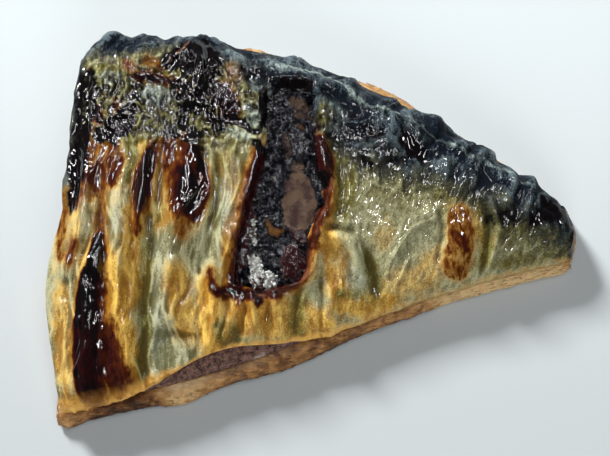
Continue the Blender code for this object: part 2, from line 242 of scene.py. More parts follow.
@dataclass(frozen=True)
class Fillet:
    """The smooth form that all layers share, as the solids have it."""

    cut_x: float = -51.3
    cut_back_x: float = -49.5
    tail_x: float = 55.0
    cut_belly_y: float = -43.4
    cut_back_y: float = 43.4
    tail_belly_y: float = -10.6
    tail_back_y: float = 2.8
    cut_bulge: float = 1.9
    cut_swell: float = 3.0
    tail_bulge: float = 1.6
    crest_height: float = 15.5
    crest_fall: float = 7.0
    belly_height: float = 7.5
    edge_height: float = 4.0
    crest_at: float = 0.74
    crest_sharpness: float = 1.15
    back_sag: float = 0.06
    belly_rounding: float = 4.5
    back_rounding: float = 11.0
    belly_rounding_share: float = 0.38
    back_rounding_share: float = 0.45
    cut_rounding: float = 8.0
    tail_rounding: float = 6.0
    cut_drop: float = 0.24
    skin_thickness: float = 0.9
    layer_gap: float = 0.4
    rounding_loss: float = 0.9
    tail_inset: float = 1.4
    dark_thickness: float = 1.4
    flare: float = 1.5
    belly_sag: float = 0.9
    belly_sway: float = 1.6
    back_level: float = 0.16
    back_power: float = 1.85
    swell_at: float = 0.3
    swell_width: float = 0.17
    early_fall: float = 0.22
    edge_crowding: float = 0.16
    back_crowding: float = 0.25

    @property
    def length(self) -> float:
        """Length from the cut to the tail."""
        return self.tail_x - self.cut_x

    def belly_edge(self, s: Points) -> Points:
        """Belly edge from the cut, s = 0, to the tail, s = 1."""
        x = self.cut_x + self.length * s
        y = self.cut_belly_y + (self.tail_belly_y - self.cut_belly_y) * s
        sag = self.belly_sag * np.sin(np.pi * s) + self.belly_sway * np.sin(2 * np.pi * s)
        return np.stack([x, y - sag + self.flare], -1)

    def back_edge(self, s: Points) -> Points:
        """Back edge: level at first, then falling ever faster to the tail."""
        x = self.cut_back_x + (self.tail_x - self.cut_back_x) * s
        fall = np.clip((s - self.back_level) / (1 - self.back_level), 0, 1) ** self.back_power
        return np.stack([x, self.cut_back_y + (self.tail_back_y - self.cut_back_y) * fall], -1)

    def end_edge(self, s_end: float, t: Points, bow: Points) -> Points:
        """Edge across one end, t = 0 at the belly, bowed out along X."""
        start, stop = self.belly_edge(s_end), self.back_edge(s_end)
        return start + (stop - start) * t[..., None] + bow[..., None] * np.array([1.0, 0.0])

    def plan(self, u: Points, v: Points) -> Points:
        """Place in the outline: u from the cut to the tail, v from belly to back."""
        swell = self.cut_swell * bell(v, self.swell_at, self.swell_width)
        bow = self.cut_bulge * (1 - (2 * v - 1) ** 6) + swell
        cut = self.end_edge(0.0, v, -bow)
        tail = self.end_edge(1.0, v, self.tail_bulge * np.sin(np.pi * np.clip(v, 0, 1)) ** 0.8)
        near, far = (1 - u)[..., None], u[..., None]
        low, high = (1 - v)[..., None], v[..., None]
        both = near * (low * self.belly_edge(0.0) + high * self.back_edge(0.0))
        both = both + far * (low * self.belly_edge(1.0) + high * self.back_edge(1.0))
        along = low * self.belly_edge(u) + high * self.back_edge(u)
        return along + near * cut + far * tail - both

    def width_at(self, u: Points) -> Points:
        """Width from belly to back at u."""
        return np.linalg.norm(self.back_edge(u) - self.belly_edge(u), axis=-1)

    def back_slant(self, u: Points) -> Points:
        """Cosine of the angle that the back edge makes with X."""
        along = self.back_edge(u + 0.01) - self.back_edge(u - 0.01)
        return along[..., 0] / np.linalg.norm(along, axis=-1)

    def roundings(self, u: Points) -> tuple[Points, Points]:
        """Widths over which the skin turns down, at the belly and the back."""
        width = self.width_at(u)
        belly = np.minimum(self.belly_rounding, self.belly_rounding_share * width)
        return belly, np.minimum(self.back_rounding, self.back_rounding_share * width)

    def dome(self, u: Points, v: Points) -> Points:
        """Height of the skin before its edges turn down."""
        fall = self.early_fall * u + (1 - self.early_fall) * u**3
        crest = self.crest_height - self.crest_fall * fall
        low = self.belly_height - u
        up = np.sin(np.pi / 2 * np.clip(v / self.crest_at, 0, 1)) ** self.crest_sharpness
        down = 1 - self.back_sag * smooth((v - self.crest_at) / (1 - self.crest_at))
        return low + (crest - low) * up * down

    def surface(self, u: Points, v: Points, depth: float) -> Points:
        """Point of the surface that lies at this depth under the skin's face."""
        width, tighter = self.width_at(u), self.rounding_loss * depth
        belly_width, back_width = self.roundings(u)
        belly = round_rise(v * width - depth, belly_width - tighter)
        back = round_rise((1 - v) * width * self.back_slant(u) - depth, back_width - tighter)
        from_tail = (1 - u) * self.length - self.tail_inset * depth
        tail = round_rise(from_tail, self.tail_rounding - tighter)
        cut = 1 - self.cut_drop * np.clip(1 - u * self.length / self.cut_rounding, 0, 1) ** 2
        rise = (self.dome(u, v) - depth - self.edge_height) * belly * back * tail * cut
        return np.concatenate([self.plan(u, v), (self.edge_height + rise)[..., None]], -1)

    def outward(self, u: Points, v: Points) -> Points:
        """Direction square to the skin, worked out just inside its edges."""
        step = 0.0015
        u, v = np.clip(u, step, 1 - 2 * step), np.clip(v, 2 * step, 1 - 2 * step)
        along = self.surface(u + step, v, 0.0) - self.surface(u - step, v, 0.0)
        across = self.surface(u, v + step, 0.0) - self.surface(u, v - step, 0.0)
        square = np.cross(along, across)
        return square / np.linalg.norm(square, axis=-1, keepdims=True)

    def rows_between(self, u: Points, depth: float, low: Points, share: Points) -> Points:
        """Spread v from the belly to the back, closer where the skin turns down.

        Args:
            u: One u for each line of points.
            depth: Depth of the layer under the skin's face.
            low: For each u, the width that the layer leaves bare at the belly.
            share: Positions 0 to 1 of the points along each line.

        Returns:
            v for each u and position.
        """
        width = self.width_at(u)
        start = np.maximum(depth, low) / width
        stop = 1 - depth / (width * self.back_slant(u))
        back = 0.5 * self.roundings(u)[1] / width
        eased = share - self.edge_crowding * np.sin(2 * np.pi * share) / (2 * np.pi)
        turned = eased[None, :] ** (1 - self.back_crowding * back[:, None])
        return start[:, None] + (stop - start)[:, None] * turned


FORM = Fillet()


# ---- drawing on skin


@dataclass(frozen=True)
class Stroke:
    """A soft band along a line on the skin, such as a scorch or a fold.

    It keeps its full amount for width to each side of the line, then fades out
    over fade, or over fade_tail on the side of the tail where that is given.
    """

    line: Path
    width: float
    amount: float = 1.0
    fade: float = 1.0
    fade_tail: float | None = None
    taper: float = 0.4

    def measure(self, xy: Points, reach: float) -> tuple[Points, Points, Points, Points]:
        """Measure the points that lie near the line.

        Args:
            xy: Places in the outline.
            reach: How far from the line a place may lie.

        Returns:
            Which places are near, their distance from the line, how far they are
            along it, 0 to 1, and how much they lie on its tail side, -1 to 1.
        """
        line = curve_through(self.line, 5 * len(self.line))
        low, high = line.min(0) - reach, line.max(0) + reach
        near = np.all((xy > low) & (xy < high), axis=-1)
        distance, along, aside = distance_to(line, xy[near])
        return near, distance, along, aside

    def cover(self, xy: Points) -> Points:
        """How much of the stroke lies over each point, 0 to amount."""
        fade_tail = self.fade if self.fade_tail is None else self.fade_tail
        reach = self.width + 2.2 * max(self.fade, fade_tail)
        near, distance, along, aside = self.measure(xy, reach)
        fade = self.fade + (fade_tail - self.fade) * smooth(0.5 + 0.5 * aside)
        width = self.width * (1 - self.taper * np.abs(2 * along - 1) ** 3)
        total = np.zeros(xy.shape[:-1])
        outside = np.maximum(distance - width, 0) / fade
        total[near] = self.amount * np.exp(-1.6 * outside**1.3)
        return total

    def ridge(self, xy: Points) -> Points:
        """Height that the stroke adds as a rounded ridge."""
        near, distance, along, _ = self.measure(xy, 2.6 * self.width)
        height = self.amount * (1 - self.taper * np.abs(2 * along - 1) ** 3)
        total = np.zeros(xy.shape[:-1])
        total[near] = height * bell(distance, 0.0, self.width)
        return total


@dataclass(frozen=True)
class Patch:
    """A soft round patch on the skin."""

    middle: Pair
    widths: Pair
    amount: float

    def cover(self, xy: Points) -> Points:
        """How much of the patch lies over each point, 0 to amount."""
        along, across = (bell(xy[..., k], self.middle[k], self.widths[k]) for k in (0, 1))
        return self.amount * along * across


Strokes = tuple[Stroke, ...]


def strokes(*rows: tuple[tuple[float, ...] | float | None, ...]) -> Strokes:
    """Make one stroke of each row.

    Args:
        rows: A stroke's line as x, y, x, y and so on, then its width, amount, fade,
            fade_tail and taper; those left off the end keep their usual value.

    Returns:
        The strokes, in the rows' order.
    """
    return tuple(Stroke(tuple(zip(line[::2], line[1::2])), *rest) for line, *rest in rows)


def paint(drawn: Strokes, xy: Points) -> Points:
    """Lay strokes over each other, the strongest showing."""
    total = np.zeros(xy.shape[:-1])
    for stroke in drawn:
        total = np.maximum(total, stroke.cover(xy))
    return total


# ---- the burst


@dataclass(frozen=True)
class Burst:
    """The long opening where the skin has split over the flank.

    Each side is given as (y, x) from the back to the belly.
    """

    belly_side: Path = (
        (26.9, -7.6), (25.5, -9.6), (20, -10.2), (15, -10.3), (10, -10.4), (5, -11.9),
        (0, -12.9), (-5, -14.1), (-10, -15.4), (-14, -16.0), (-16.4, -15.2), (-17.4, -11.5),
    )
    tail_side: Path = (
        (26.9, -2.4), (25.5, -0.3), (20, 0.0), (15, -0.3), (10, -0.2), (7, 0.5), (4, 2.2),
        (0, 1.3), (-4, -0.8), (-9, -1.6), (-13, -2.3), (-15.6, -4.4), (-17.4, -10.5),
    )
    top_reach: float = 0.35
    bottom_reach: float = 0.25
    bluntness: float = 0.5
    tear: float = 0.55
    tear_length: float = 2.4
    fray: float = 0.22
    fray_length: float = 0.8
    lip_height: float = 0.95
    lip_away: float = 2.0
    lip_width: float = 1.3
    lip_dive: float = 1.0
    dive_width: float = 1.1
    hairline: float = 0.004

    @property
    def top(self) -> float:
        """Y of the end near the back."""
        return self.belly_side[0][0] + self.top_reach

    @property
    def bottom(self) -> float:
        """Y of the end near the belly."""
        return self.belly_side[-1][0] - self.bottom_reach

    def edge_x(self, y: Points, side: Path) -> Points:
        """X of one side of the opening at y, closing to a blunt end."""
        ys, xs = np.array(side)[::-1].T
        seed = 31 if side is self.belly_side else 36
        torn = self.tear * Grain(seed)(y / self.tear_length, 0 * y)
        torn = torn + self.fray * Grain(seed + 1)(y / self.fray_length, 0 * y)
        return np.interp(y, ys, xs) + torn

    def middle_x(self, y: Points) -> Points:
        """X halfway between the sides."""
        return 0.5 * (self.edge_x(y, self.belly_side) + self.edge_x(y, self.tail_side))

    def gape(self, y: Points) -> Points:
        """1 inside the opening's length, falling to a hairline past its ends."""
        inside = np.minimum(self.top - y, y - self.bottom)
        return np.maximum(np.sqrt(np.clip(inside / self.bluntness, 0, 1)), self.hairline)

    def inside(self, xy: Points) -> Points:
        """How far inside the opening each place lies, below 0 outside it."""
        x, y = xy[..., 0], xy[..., 1]
        sideways = np.minimum(
            x - self.edge_x(y, self.belly_side), self.edge_x(y, self.tail_side) - x
        )
        return np.minimum(sideways, np.minimum(self.top - y, y - self.bottom))


BURST = Burst()


# ---- building meshes


@dataclass
class Mould:
    """Collects points and faces, then makes one mesh of them."""

    points: list[Points] = field(default_factory=list)
    faces: list[tuple[int, ...]] = field(default_factory=list)
    count: int = 0

    def add(self, points: Points) -> Points:
        """Add points and return their numbers in the same arrangement."""
        flat = points.reshape(-1, 3)
        numbers = np.arange(self.count, self.count + len(flat)).reshape(points.shape[:-1])
        self.points.append(flat)
        self.count += len(flat)
        return numbers

    def sheet(self, numbers: Points, skip: Points | None = None, over: bool = False) -> None:
        """Face a grid of points, facing up, or down where over is set."""
        a, b = numbers[:-1, :-1], numbers[1:, :-1]
        c, d = numbers[1:, 1:], numbers[:-1, 1:]
        quads = np.stack([a, d, c, b] if over else [a, b, c, d], -1)
        keep = np.ones(a.shape, bool) if skip is None else ~skip
        self.faces += [tuple(q) for q in quads[keep].tolist()]

    def band(self, upper: Points, lower: Points) -> None:
        """Join two closed loops of as many points, facing outwards."""
        n_upper, n_lower = np.roll(upper, -1), np.roll(lower, -1)
        quads = np.stack([n_upper, upper, lower, n_lower], -1)
        self.faces += [tuple(q) for q in quads.tolist()]

    def step_down(self, fine: Points, coarse: Points) -> None:
        """Join a closed loop to one with fewer points, facing outwards."""
        self.hang(np.append(fine, fine[0]), np.append(coarse, coarse[0]))

    def hang(self, fine: Points, coarse: Points) -> None:
        """Join an open run of points to one with fewer points below it."""
        ratio = (len(fine) - 1) // (len(coarse) - 1)
        for k in range(len(coarse) - 1):
            run = [int(n) for n in fine[k * ratio : (k + 1) * ratio + 1]]
            self.faces.append((*run[::-1], int(coarse[k]), int(coarse[k + 1])))

    def mesh(self, name: str, stored: dict[str, Points]) -> Mesh:
        """Make the mesh, in metres.

        Args:
            name: The mesh's name.
            stored: Numbers for its first points, by name; the other points get 0.

        Returns:
            The mesh, with its stored numbers and with its faces outwards.
        """
        made = bpy.data.meshes.new(name)
        made.from_pydata((np.concatenate(self.points) * MM).tolist(), [], self.faces)
        made.validate()
        for key, values in stored.items():
            add_attribute(made, key, np.append(values, np.zeros(self.count - values.size)))
        turn_outwards(made)
        return made


def turn_outwards(mesh: Mesh) -> None:
    """Drop unused points, cut the faces to triangles and turn them outwards."""
    bm = bmesh.new()
    bm.from_mesh(mesh)
    loose = [vertex for vertex in bm.verts if not vertex.link_faces]
    bmesh.ops.delete(bm, geom=loose, context="VERTS")
    bmesh.ops.triangulate(bm, faces=bm.faces, quad_method="SHORT_EDGE")
    bmesh.ops.recalc_face_normals(bm, faces=bm.faces)
    bm.to_mesh(mesh)
    bm.free()
    mesh.shade_smooth()


def rim_of(grid: Points) -> Points:
    """Outer loop of a grid of numbers, starting at its first corner."""
    return np.concatenate([grid[:, 0], grid[-1, 1:], grid[-2::-1, -1], grid[0, -2:0:-1]])


def fetched(items: object, key: str, width: int) -> Points:
    """Read numbers from all points of a mesh, so many from each."""
    flat = np.empty(width * len(items), np.float32)
    items.foreach_get(key, flat)
    return flat.reshape(-1, width)


def new_piece(name: str, mesh: Mesh, material: Material) -> Object:
    """Put a finished mesh in the scene with its material."""
    mesh.materials.clear()
    mesh.materials.append(material)
    piece = bpy.data.objects.new(name, mesh)
    bpy.context.scene.collection.objects.link(piece)
    return piece


def add_attribute(mesh: Mesh, name: str, values: Points) -> None:
    """Store one number for each point, for the finish to read."""
    attribute = mesh.attributes.new(name, "FLOAT", "POINT")
    attribute.data.foreach_set("value", np.ascontiguousarray(values, np.float32).ravel())


# ---- finishes

# Most of a cloudy noise lies between these.
CLOUD_RANGE = (0.3, 0.7)


class Tint(Enum):
    """What is stored at each point of the skin for its finish to read."""

    SCORCH = "scorch"
    # Also holds a painted shadow under the lifted film by the burst.
    SOOT_AND_SHADOW = "soot"
    GOLD = "gold"
    # Also holds dark green-brown painted as shade in valleys and creases.
    MOSS_AND_SHADE = "moss"
    # Painted sheen: the pale silver-blue.
    FROST_SHEEN = "frost_sheen"
    # Thin edges, partly painted highlight.
    EDGE = "edge"
    RIM = "rim"
    SLATE = "slate"
    CRINKLE = "crinkle"
    # Crests and hollows drive painted highlight and painted shade in the finish.
    CREST = "crest"
    HOLLOW = "hollow"


@dataclass
class Shader:
    """Writes a node tree in short steps."""

    material: Material

    @classmethod
    def begin(cls, name: str) -> "Shader":
        """Start a material that holds only the shader and its output."""
        material = bpy.data.materials.new(name)
        material.use_nodes = True
        return cls(material)

    @property
    def surface(self) -> Node:
        """The material's Principled shader."""
        return self.material.node_tree.nodes["Principled BSDF"]

    def node(self, kind: str, **inputs: object) -> Node:
        """Add a node and fill its inputs, by value or by link."""
        made = self.material.node_tree.nodes.new(kind)
        for name, value in inputs.items():
            self.fill(made.inputs[name.replace("_", " ")], value)
        return made

    def fill(self, socket: Socket, value: object) -> None:
        """Give one input a value or a link."""
        if isinstance(value, Socket):
            self.material.node_tree.links.new(value, socket)
        elif isinstance(value, tuple) and len(value) == 3 and socket.type == "RGBA":
            socket.default_value = (*value, 1.0)
        else:
            socket.default_value = value

    def dress(self, **inputs: object) -> Material:
        """Fill inputs of the Principled shader and return the finished material."""
        for name, value in inputs.items():
            self.fill(self.surface.inputs[name.replace("_", " ")], value)
        return self.material

    def read(self, name: str) -> Socket:
        """Read a stored number of the mesh."""
        node = self.node("ShaderNodeAttribute")
        node.attribute_name = name
        return node.outputs["Fac"]

    def place(self, stretch: Triple = (1, 1, 1)) -> Socket:
        """Object coordinates in millimetres, stretched along each axis."""
        where = self.node("ShaderNodeTexCoord").outputs["Object"]
        mapping = self.node("ShaderNodeMapping", Vector=where)
        mapping.inputs["Scale"].default_value = tuple(s / MM for s in stretch)
        return mapping.outputs["Vector"]

    def noise(self, where: Socket, scale: float, detail: float = 3, rough: float = 0.55) -> Socket:
        """Cloudy noise, around 0.5."""
        inputs = {"Vector": where, "Scale": scale, "Detail": detail, "Roughness": rough}
        return self.node("ShaderNodeTexNoise", **inputs).outputs["Fac"]

    def ridges(self, where: Socket, scale: float, detail: float, rough: float) -> Socket:
        """Noise with sharp crests, such as those of crumpled foil."""
        folded = self.math("SUBTRACT", self.noise(where, scale, detail, rough), 0.5)
        return self.math("SUBTRACT", 1.0, self.times(self.math("ABSOLUTE", folded), 4.0))

    def net(self, where: Socket, scale: float) -> Socket:
        """Fine net of cells, 0 on its lines and rising inside each cell."""
        node = self.node("ShaderNodeTexVoronoi", Vector=where, Scale=scale)
        node.feature = "DISTANCE_TO_EDGE"
        return node.outputs["Distance"]

    def math(self, how: str, a: object, b: object = 0.0, c: object = 0.0) -> Socket:
        """One step of arithmetic."""
        node = self.node("ShaderNodeMath")
        node.operation = how
        for socket, value in zip(node.inputs, (a, b, c)):
            self.fill(socket, value)
        return node.outputs[0]

    def add(self, a: object, b: object) -> Socket:
        """Sum of two numbers."""
        return self.math("ADD", a, b)

    def times(self, a: object, b: object) -> Socket:
        """Product of two numbers."""
        return self.math("MULTIPLY", a, b)

    def fit(self, value: Socket, low: float, high: float, to: Pair = (0, 1)) -> Socket:
        """Stretch a range of values over another, clamped."""
        node = self.node("ShaderNodeMapRange")
        node.interpolation_type = "SMOOTHSTEP"
        for socket, given in zip(node.inputs, (value, low, high, *to)):
            self.fill(socket, given)
        return node.outputs[0]

    def sway(self, noise: Socket, depth: float) -> Socket:
        """Turn a cloudy noise into one from -depth to depth."""
        return self.fit(noise, *CLOUD_RANGE, (-depth, depth))

    def mix(self, share: object, a: object, b: object) -> Socket:
        """Mix two colours."""
        node = self.node("ShaderNodeMix")
        node.data_type = "RGBA"
        self.fill(node.inputs["Factor"], share)
        colours = [socket for socket in node.inputs if socket.type == "RGBA"]
        self.fill(colours[0], a)
        self.fill(colours[1], b)
        return next(socket for socket in node.outputs if socket.type == "RGBA")

    def lay(
        self, under: object, over: object, value: Socket, low: float, high: float, most: float = 1
    ) -> Socket:
        """Lay a colour over another as a value goes from low to high."""
        return self.mix(self.fit(value, low, high, (0, most)), under, over)

    def ramp(self, value: Socket, stops: tuple[tuple[float, Colour], ...]) -> Socket:
        """Colour by value."""
        node = self.node("ShaderNodeValToRGB", Fac=value)
        elements = node.color_ramp.elements
        while len(elements) < len(stops):
            elements.new(0.5)
        for element, (at, colour) in zip(elements, stops):
            element.position = at
            element.color = (*colour, 1)
        return node.outputs["Color"]

    def bump(self, *layers: tuple[Socket, float]) -> Socket:
        """Stack bumps, each a height and its size in millimetres."""
        normal = None
        for height, size in layers:
            node = self.node("ShaderNodeBump", Height=height)
            node.inputs["Distance"].default_value = size * MM
            if normal is not None:
                self.fill(node.inputs["Normal"], normal)
            normal = node.outputs["Normal"]
        return normal


@dataclass(frozen=True)
class SkinFinish:
    """Oily grilled skin: silver flank, gilded belly, slate back, black scorches."""

    silver: Colour = linear(113, 111, 78)
    # Painted highlight: the paler silver of the crests.
    pearl_highlight: Colour = linear(181, 179, 142)
    gold: Colour = linear(170, 120, 42)
    # Painted highlight: the paler gold of the crests.
    straw_highlight: Colour = linear(238, 196, 98)
    # Painted shade: the dark green-brown of the hollows.
    olive_shade: Colour = linear(84, 72, 34)
    moss: Colour = linear(116, 113, 56)
    # Painted sheen: pale silver-blue, paler on the crests as painted highlight.
    frost_sheen: Colour = linear(112, 128, 122)
    ice_highlight: Colour = linear(184, 198, 190)
    toast: Colour = linear(150, 90, 28)
    amber: Colour = linear(128, 75, 22)
    russet: Colour = linear(72, 30, 14)
    maroon: Colour = linear(40, 9, 10)
    black: Colour = linear(12, 8, 10)
    # Thin edges: partly the skin's own colour, partly painted highlight.
    edge: Colour = linear(116, 72, 50)
    rim: Colour = linear(248, 194, 106)
    shale: Colour = linear(57, 56, 41)
    slate: Colour = linear(21, 26, 34)
    # Painted sheen on the slate's crests.
    sheen: Colour = linear(92, 106, 112)

    streak_stretch: Triple = (1.0, 0.3, 1.0)
    wrinkle_stretch: Triple = (1.0, 0.5, 1.0)
    ripple_stretch: Triple = (1.0, 0.36, 1.0)
    net_stretch: Triple = (1.0, 0.8, 1.0)
    wrinkle_depth: float = 0.3
    streak_depth: float = 0.16
    net_depth: float = 0.12
    ripple_depth: float = 0.42
    film_roughness: float = 0.06

    def material(self) -> Material:
        """Build the finish.

        Returns:
            A material that reads the skin's stored numbers.
        """
        s = Shader.begin("grilled_skin")
        fine, streaks = s.place(), s.place(self.streak_stretch)
        mottle = s.noise(fine, 0.45, 6, 0.6)
        speck = s.noise(fine, 2.4, 4, 0.6)
        streak = s.noise(streaks, 1.1, 5, 0.6)
        net = s.net(s.place(self.net_stretch), 2.1)
        crinkle, hollow = s.read(Tint.CRINKLE.value), s.read(Tint.HOLLOW.value)
        # How light each place is: painted highlight on crests, painted shade in hollows, dark on
        # the net.
        light = s.add(s.read(Tint.CREST.value), s.fit(speck, 0.25, 0.75, (-0.34, 0.34)))
        light = s.add(light, s.sway(streak, 0.3))
        light = s.add(light, s.fit(net, 0.0, 0.12, (-0.22, 0.06)))
        light = s.math("SUBTRACT", light, s.times(hollow, 0.5))
        contrast = s.fit(crinkle, 0.1, 0.6, (1.0, 0.75))
        light = s.math("MULTIPLY_ADD", s.math("SUBTRACT", light, 0.5), contrast, 0.5)
        # Silver flank and its gold, with painted highlight on crests and painted shade in hollows.
        bare = s.lay(self.silver, self.pearl_highlight, light, -0.2, 1.0)
        gilt = s.lay(self.gold, self.straw_highlight, light, -0.1, 1.12)
        toasted = s.fit(s.noise(streaks, 0.5, 4, 0.6), 0.48, 0.68, (0.0, 0.6))
        gilt = s.mix(toasted, gilt, self.toast)
        gold = self.uneven(s, Tint.GOLD, mottle, streak, 0.1)
        colour = s.lay(bare, gilt, gold, 0.05, 1.0)
        # Painted shade: dark green-brown laid into the hollows.
        colour = s.lay(colour, self.olive_shade, hollow, 0.05, 1.0, 0.8)
        # Green of the wrinkles, dark in painted shade, with pearly crests as painted highlight.
        moss = self.uneven(s, Tint.MOSS_AND_SHADE, mottle, streak, 0.16)
        green = s.lay(self.olive_shade, self.moss, light, 0.0, 0.9)
        green = s.lay(green, self.pearl_highlight, light, 0.6, 1.4, 0.75)
        colour = s.lay(colour, green, moss, 0.05, 0.95)
        # Slate back, reaching down the hollows before the crests as painted shade; painted sheen on
        # crests.
        slate = self.uneven(s, Tint.SLATE, mottle, streak, 0.12)
        shade_wells = s.times(s.fit(slate, 0.0, 0.3), s.fit(light, 0.0, 1.0, (0.1, -0.1)))
        slate = s.add(slate, shade_wells)
        back = s.lay(self.slate, self.sheen, light, 0.25, 1.15)
        colour = s.lay(colour, self.shale, slate, 0.0, 0.6, 0.9)
        colour = s.lay(colour, back, slate, 0.3, 0.9)
        # Dull pale silver-blue, painted as sheen, paler on the crests as painted highlight.
        frost_sheen = self.uneven(s, Tint.FROST_SHEEN, mottle, streak, 0.2)
        icy = s.lay(self.frost_sheen, self.ice_highlight, light, 0.0, 0.9)
        colour = s.lay(colour, icy, frost_sheen, 0.1, 1.2, 0.75)
        # Scorches, from a gold halo through amber and russet to black.
        scorch = self.uneven(s, Tint.SCORCH, streak, mottle, 0.11)
        burnt = s.ramp(scorch, (
            (0.25, self.amber), (0.48, self.russet), (0.69, self.maroon), (0.92, self.black),
        ))
        halo = s.lay(gilt, green, crinkle, 0.25, 0.7)
        colour = s.lay(colour, halo, scorch, 0.0, 0.4, 0.7)
        colour = s.lay(colour, burnt, scorch, 0.06, 0.42)
        # Soot, which fills the hollows first: painted shade.
        soot = self.uneven(s, Tint.SOOT_AND_SHADOW, s.noise(fine, 0.6, 5, 0.6), speck, 0.2)
        shade_wells = s.times(s.fit(light, 0.0, 1.0, (0.14, -0.12)), s.fit(soot, 0.0, 0.3))
        soot = s.add(soot, shade_wells)
        colour = s.lay(colour, self.black, soot, 0.08, 0.8)
        # Thin rolled edges, partly painted highlight, and the fried edge along the belly.
        edge = self.uneven(s, Tint.EDGE, mottle, streak, 0.35)
        colour = s.lay(colour, self.edge, edge, 0.2, 1.1)
        rim = self.uneven(s, Tint.RIM, mottle, streak, 0.2)
        fried = s.lay(self.rim, self.gold, streak, *CLOUD_RANGE, 0.5)
        fried = s.lay(fried, self.amber, mottle, 0.48, 0.66, 0.7)
        fried = s.lay(fried, self.amber, scorch, 0.1, 0.7, 0.75)
        colour = s.lay(colour, fried, rim, 0.05, 1.2)
        # Film of oil: patchy, full over scorches, thin on the back and the rim.
        wet = s.fit(s.noise(fine, 0.3, 3), 0.46, 0.62, (0.2, 0.7))
        wet = s.math("MAXIMUM", wet, s.fit(s.add(scorch, soot), 0.2, 0.7))
        dry = s.fit(s.add(s.times(rim, 0.5), s.times(slate, 0.8)), 0.2, 1.0, (1.0, 0.4))
        wrinkles = s.times(s.ridges(s.place(self.wrinkle_stretch), 0.8, 2, 0.4), crinkle)
        ripple = s.noise(s.place(self.ripple_stretch), 0.95, 1, 0.3)
        ripple = s.times(ripple, s.fit(crinkle, 0.15, 0.9, (0.09, 1.0)))
        grain = s.bump(
            (wrinkles, self.wrinkle_depth), (s.noise(streaks, 2.4, 4, 0.6), self.streak_depth),
            (net, self.net_depth),
        )
        return s.dress(
            Base_Color=colour, Roughness=s.fit(speck, *CLOUD_RANGE, (0.45, 0.65)),
            Specular_IOR_Level=0.0, Coat_Weight=s.times(wet, dry),
            Coat_Roughness=self.film_roughness, Normal=grain,
            Coat_Normal=s.bump((ripple, self.ripple_depth)),
        )

    @staticmethod
    def uneven(s: Shader, tint: Tint, coarse: Socket, fine: Socket, depth: float) -> Socket:
        """Read one stored number and break it up with two noises."""
        value = s.read(tint.value)
        rough = s.add(s.sway(coarse, depth), s.sway(fine, 0.6 * depth))
        return s.add(value, s.times(rough, s.fit(value, 0.0, 0.3)))


@dataclass(frozen=True)
class DarkMeatFinish:
    """Dark meat: sooty crust in the burst, moist brown windows, purple-grey rim."""

    meat: Colour = linear(134, 104, 92)
    deep: Colour = linear(54, 36, 34)
    smoked: Colour = linear(98, 80, 66)
    stain: Colour = linear(66, 50, 48)
    tan: Colour = linear(104, 70, 38)
    silver: Colour = linear(176, 168, 158)
    soot: Colour = linear(13, 12, 17)
    pit: Colour = linear(7, 7, 10)
    ash: Colour = linear(50, 52, 66)
    clot: Colour = linear(45, 9, 12)

    crag_depth: float = 0.45
    film_depth: float = 0.5
    film_roughness: float = 0.14

    def material(self) -> Material:
        """Build the finish.

        Returns:
            A material that reads the dark meat's stored numbers.
        """
        s = Shader.begin("dark_meat_crust")
        fine = s.place()
        speck = s.noise(fine, 3.6, 5, 0.7)
        cloud = s.noise(fine, 1.1, 4, 0.6)
        patch = s.noise(fine, 0.55, 3, 0.6)
        sunk, clot = s.read("sunk"), s.read("clot")
        # Black crust, worn to ash on its crags.
        soot = s.add(s.read("soot"), s.sway(speck, 0.14))
        worn = s.times(s.fit(cloud, 0.42, 0.7), s.fit(speck, 0.35, 0.65, (0.3, 1.0)))
        crust = s.mix(s.fit(patch, 0.34, 0.6), self.pit, s.mix(worn, self.soot, self.ash))
        # The bare meat: moist brown in the burst, purple-grey at the notch.
        meat = s.fit(s.add(cloud, s.sway(speck, 0.12)), *CLOUD_RANGE)
        meat = s.mix(meat, self.meat, self.deep)
        stained = s.fit(s.add(s.noise(fine, 0.35, 4, 0.6), s.sway(speck, 0.06)), 0.42, 0.66)
        meat = s.mix(sunk, meat, s.mix(stained, self.smoked, self.stain))
        meat = s.lay(meat, self.tan, s.read("tan"), 0.2, 0.8)
        # Pale membrane and its flecks.
        silver = s.add(s.read("silver"), s.sway(cloud, 0.2))
        flecks = s.times(s.fit(speck, 0.56, 0.72, (0.0, 0.7)), s.fit(sunk, 0.0, 1.0, (1, 0)))
        silver = s.math("MAXIMUM", silver, flecks)
        meat = s.lay(meat, self.silver, silver, 0.3, 0.95)
        colour = s.lay(meat, crust, soot, 0.2, 0.75)
        colour = s.lay(colour, self.clot, clot, 0.2, 0.8)
        matt = s.fit(s.math("SUBTRACT", sunk, soot), 0.0, 0.6, (1.0, 0.08))
        wet = s.times(s.fit(patch, 0.4, 0.65, (0.04, 0.7)), matt)
        rough = s.times(speck, s.fit(soot, 0.1, 0.9, (0.15, 1.0)))
        return s.dress(
            Base_Color=colour, Roughness=s.fit(speck, 0.35, 0.65, (0.45, 0.75)),
            Specular_IOR_Level=0.0, Coat_Weight=s.math("MAXIMUM", clot, wet),
            Coat_Roughness=self.film_roughness, Normal=s.bump((rough, self.crag_depth)),
            Coat_Normal=s.bump((s.noise(fine, 1.1, 2, 0.5), self.film_depth)),
        )


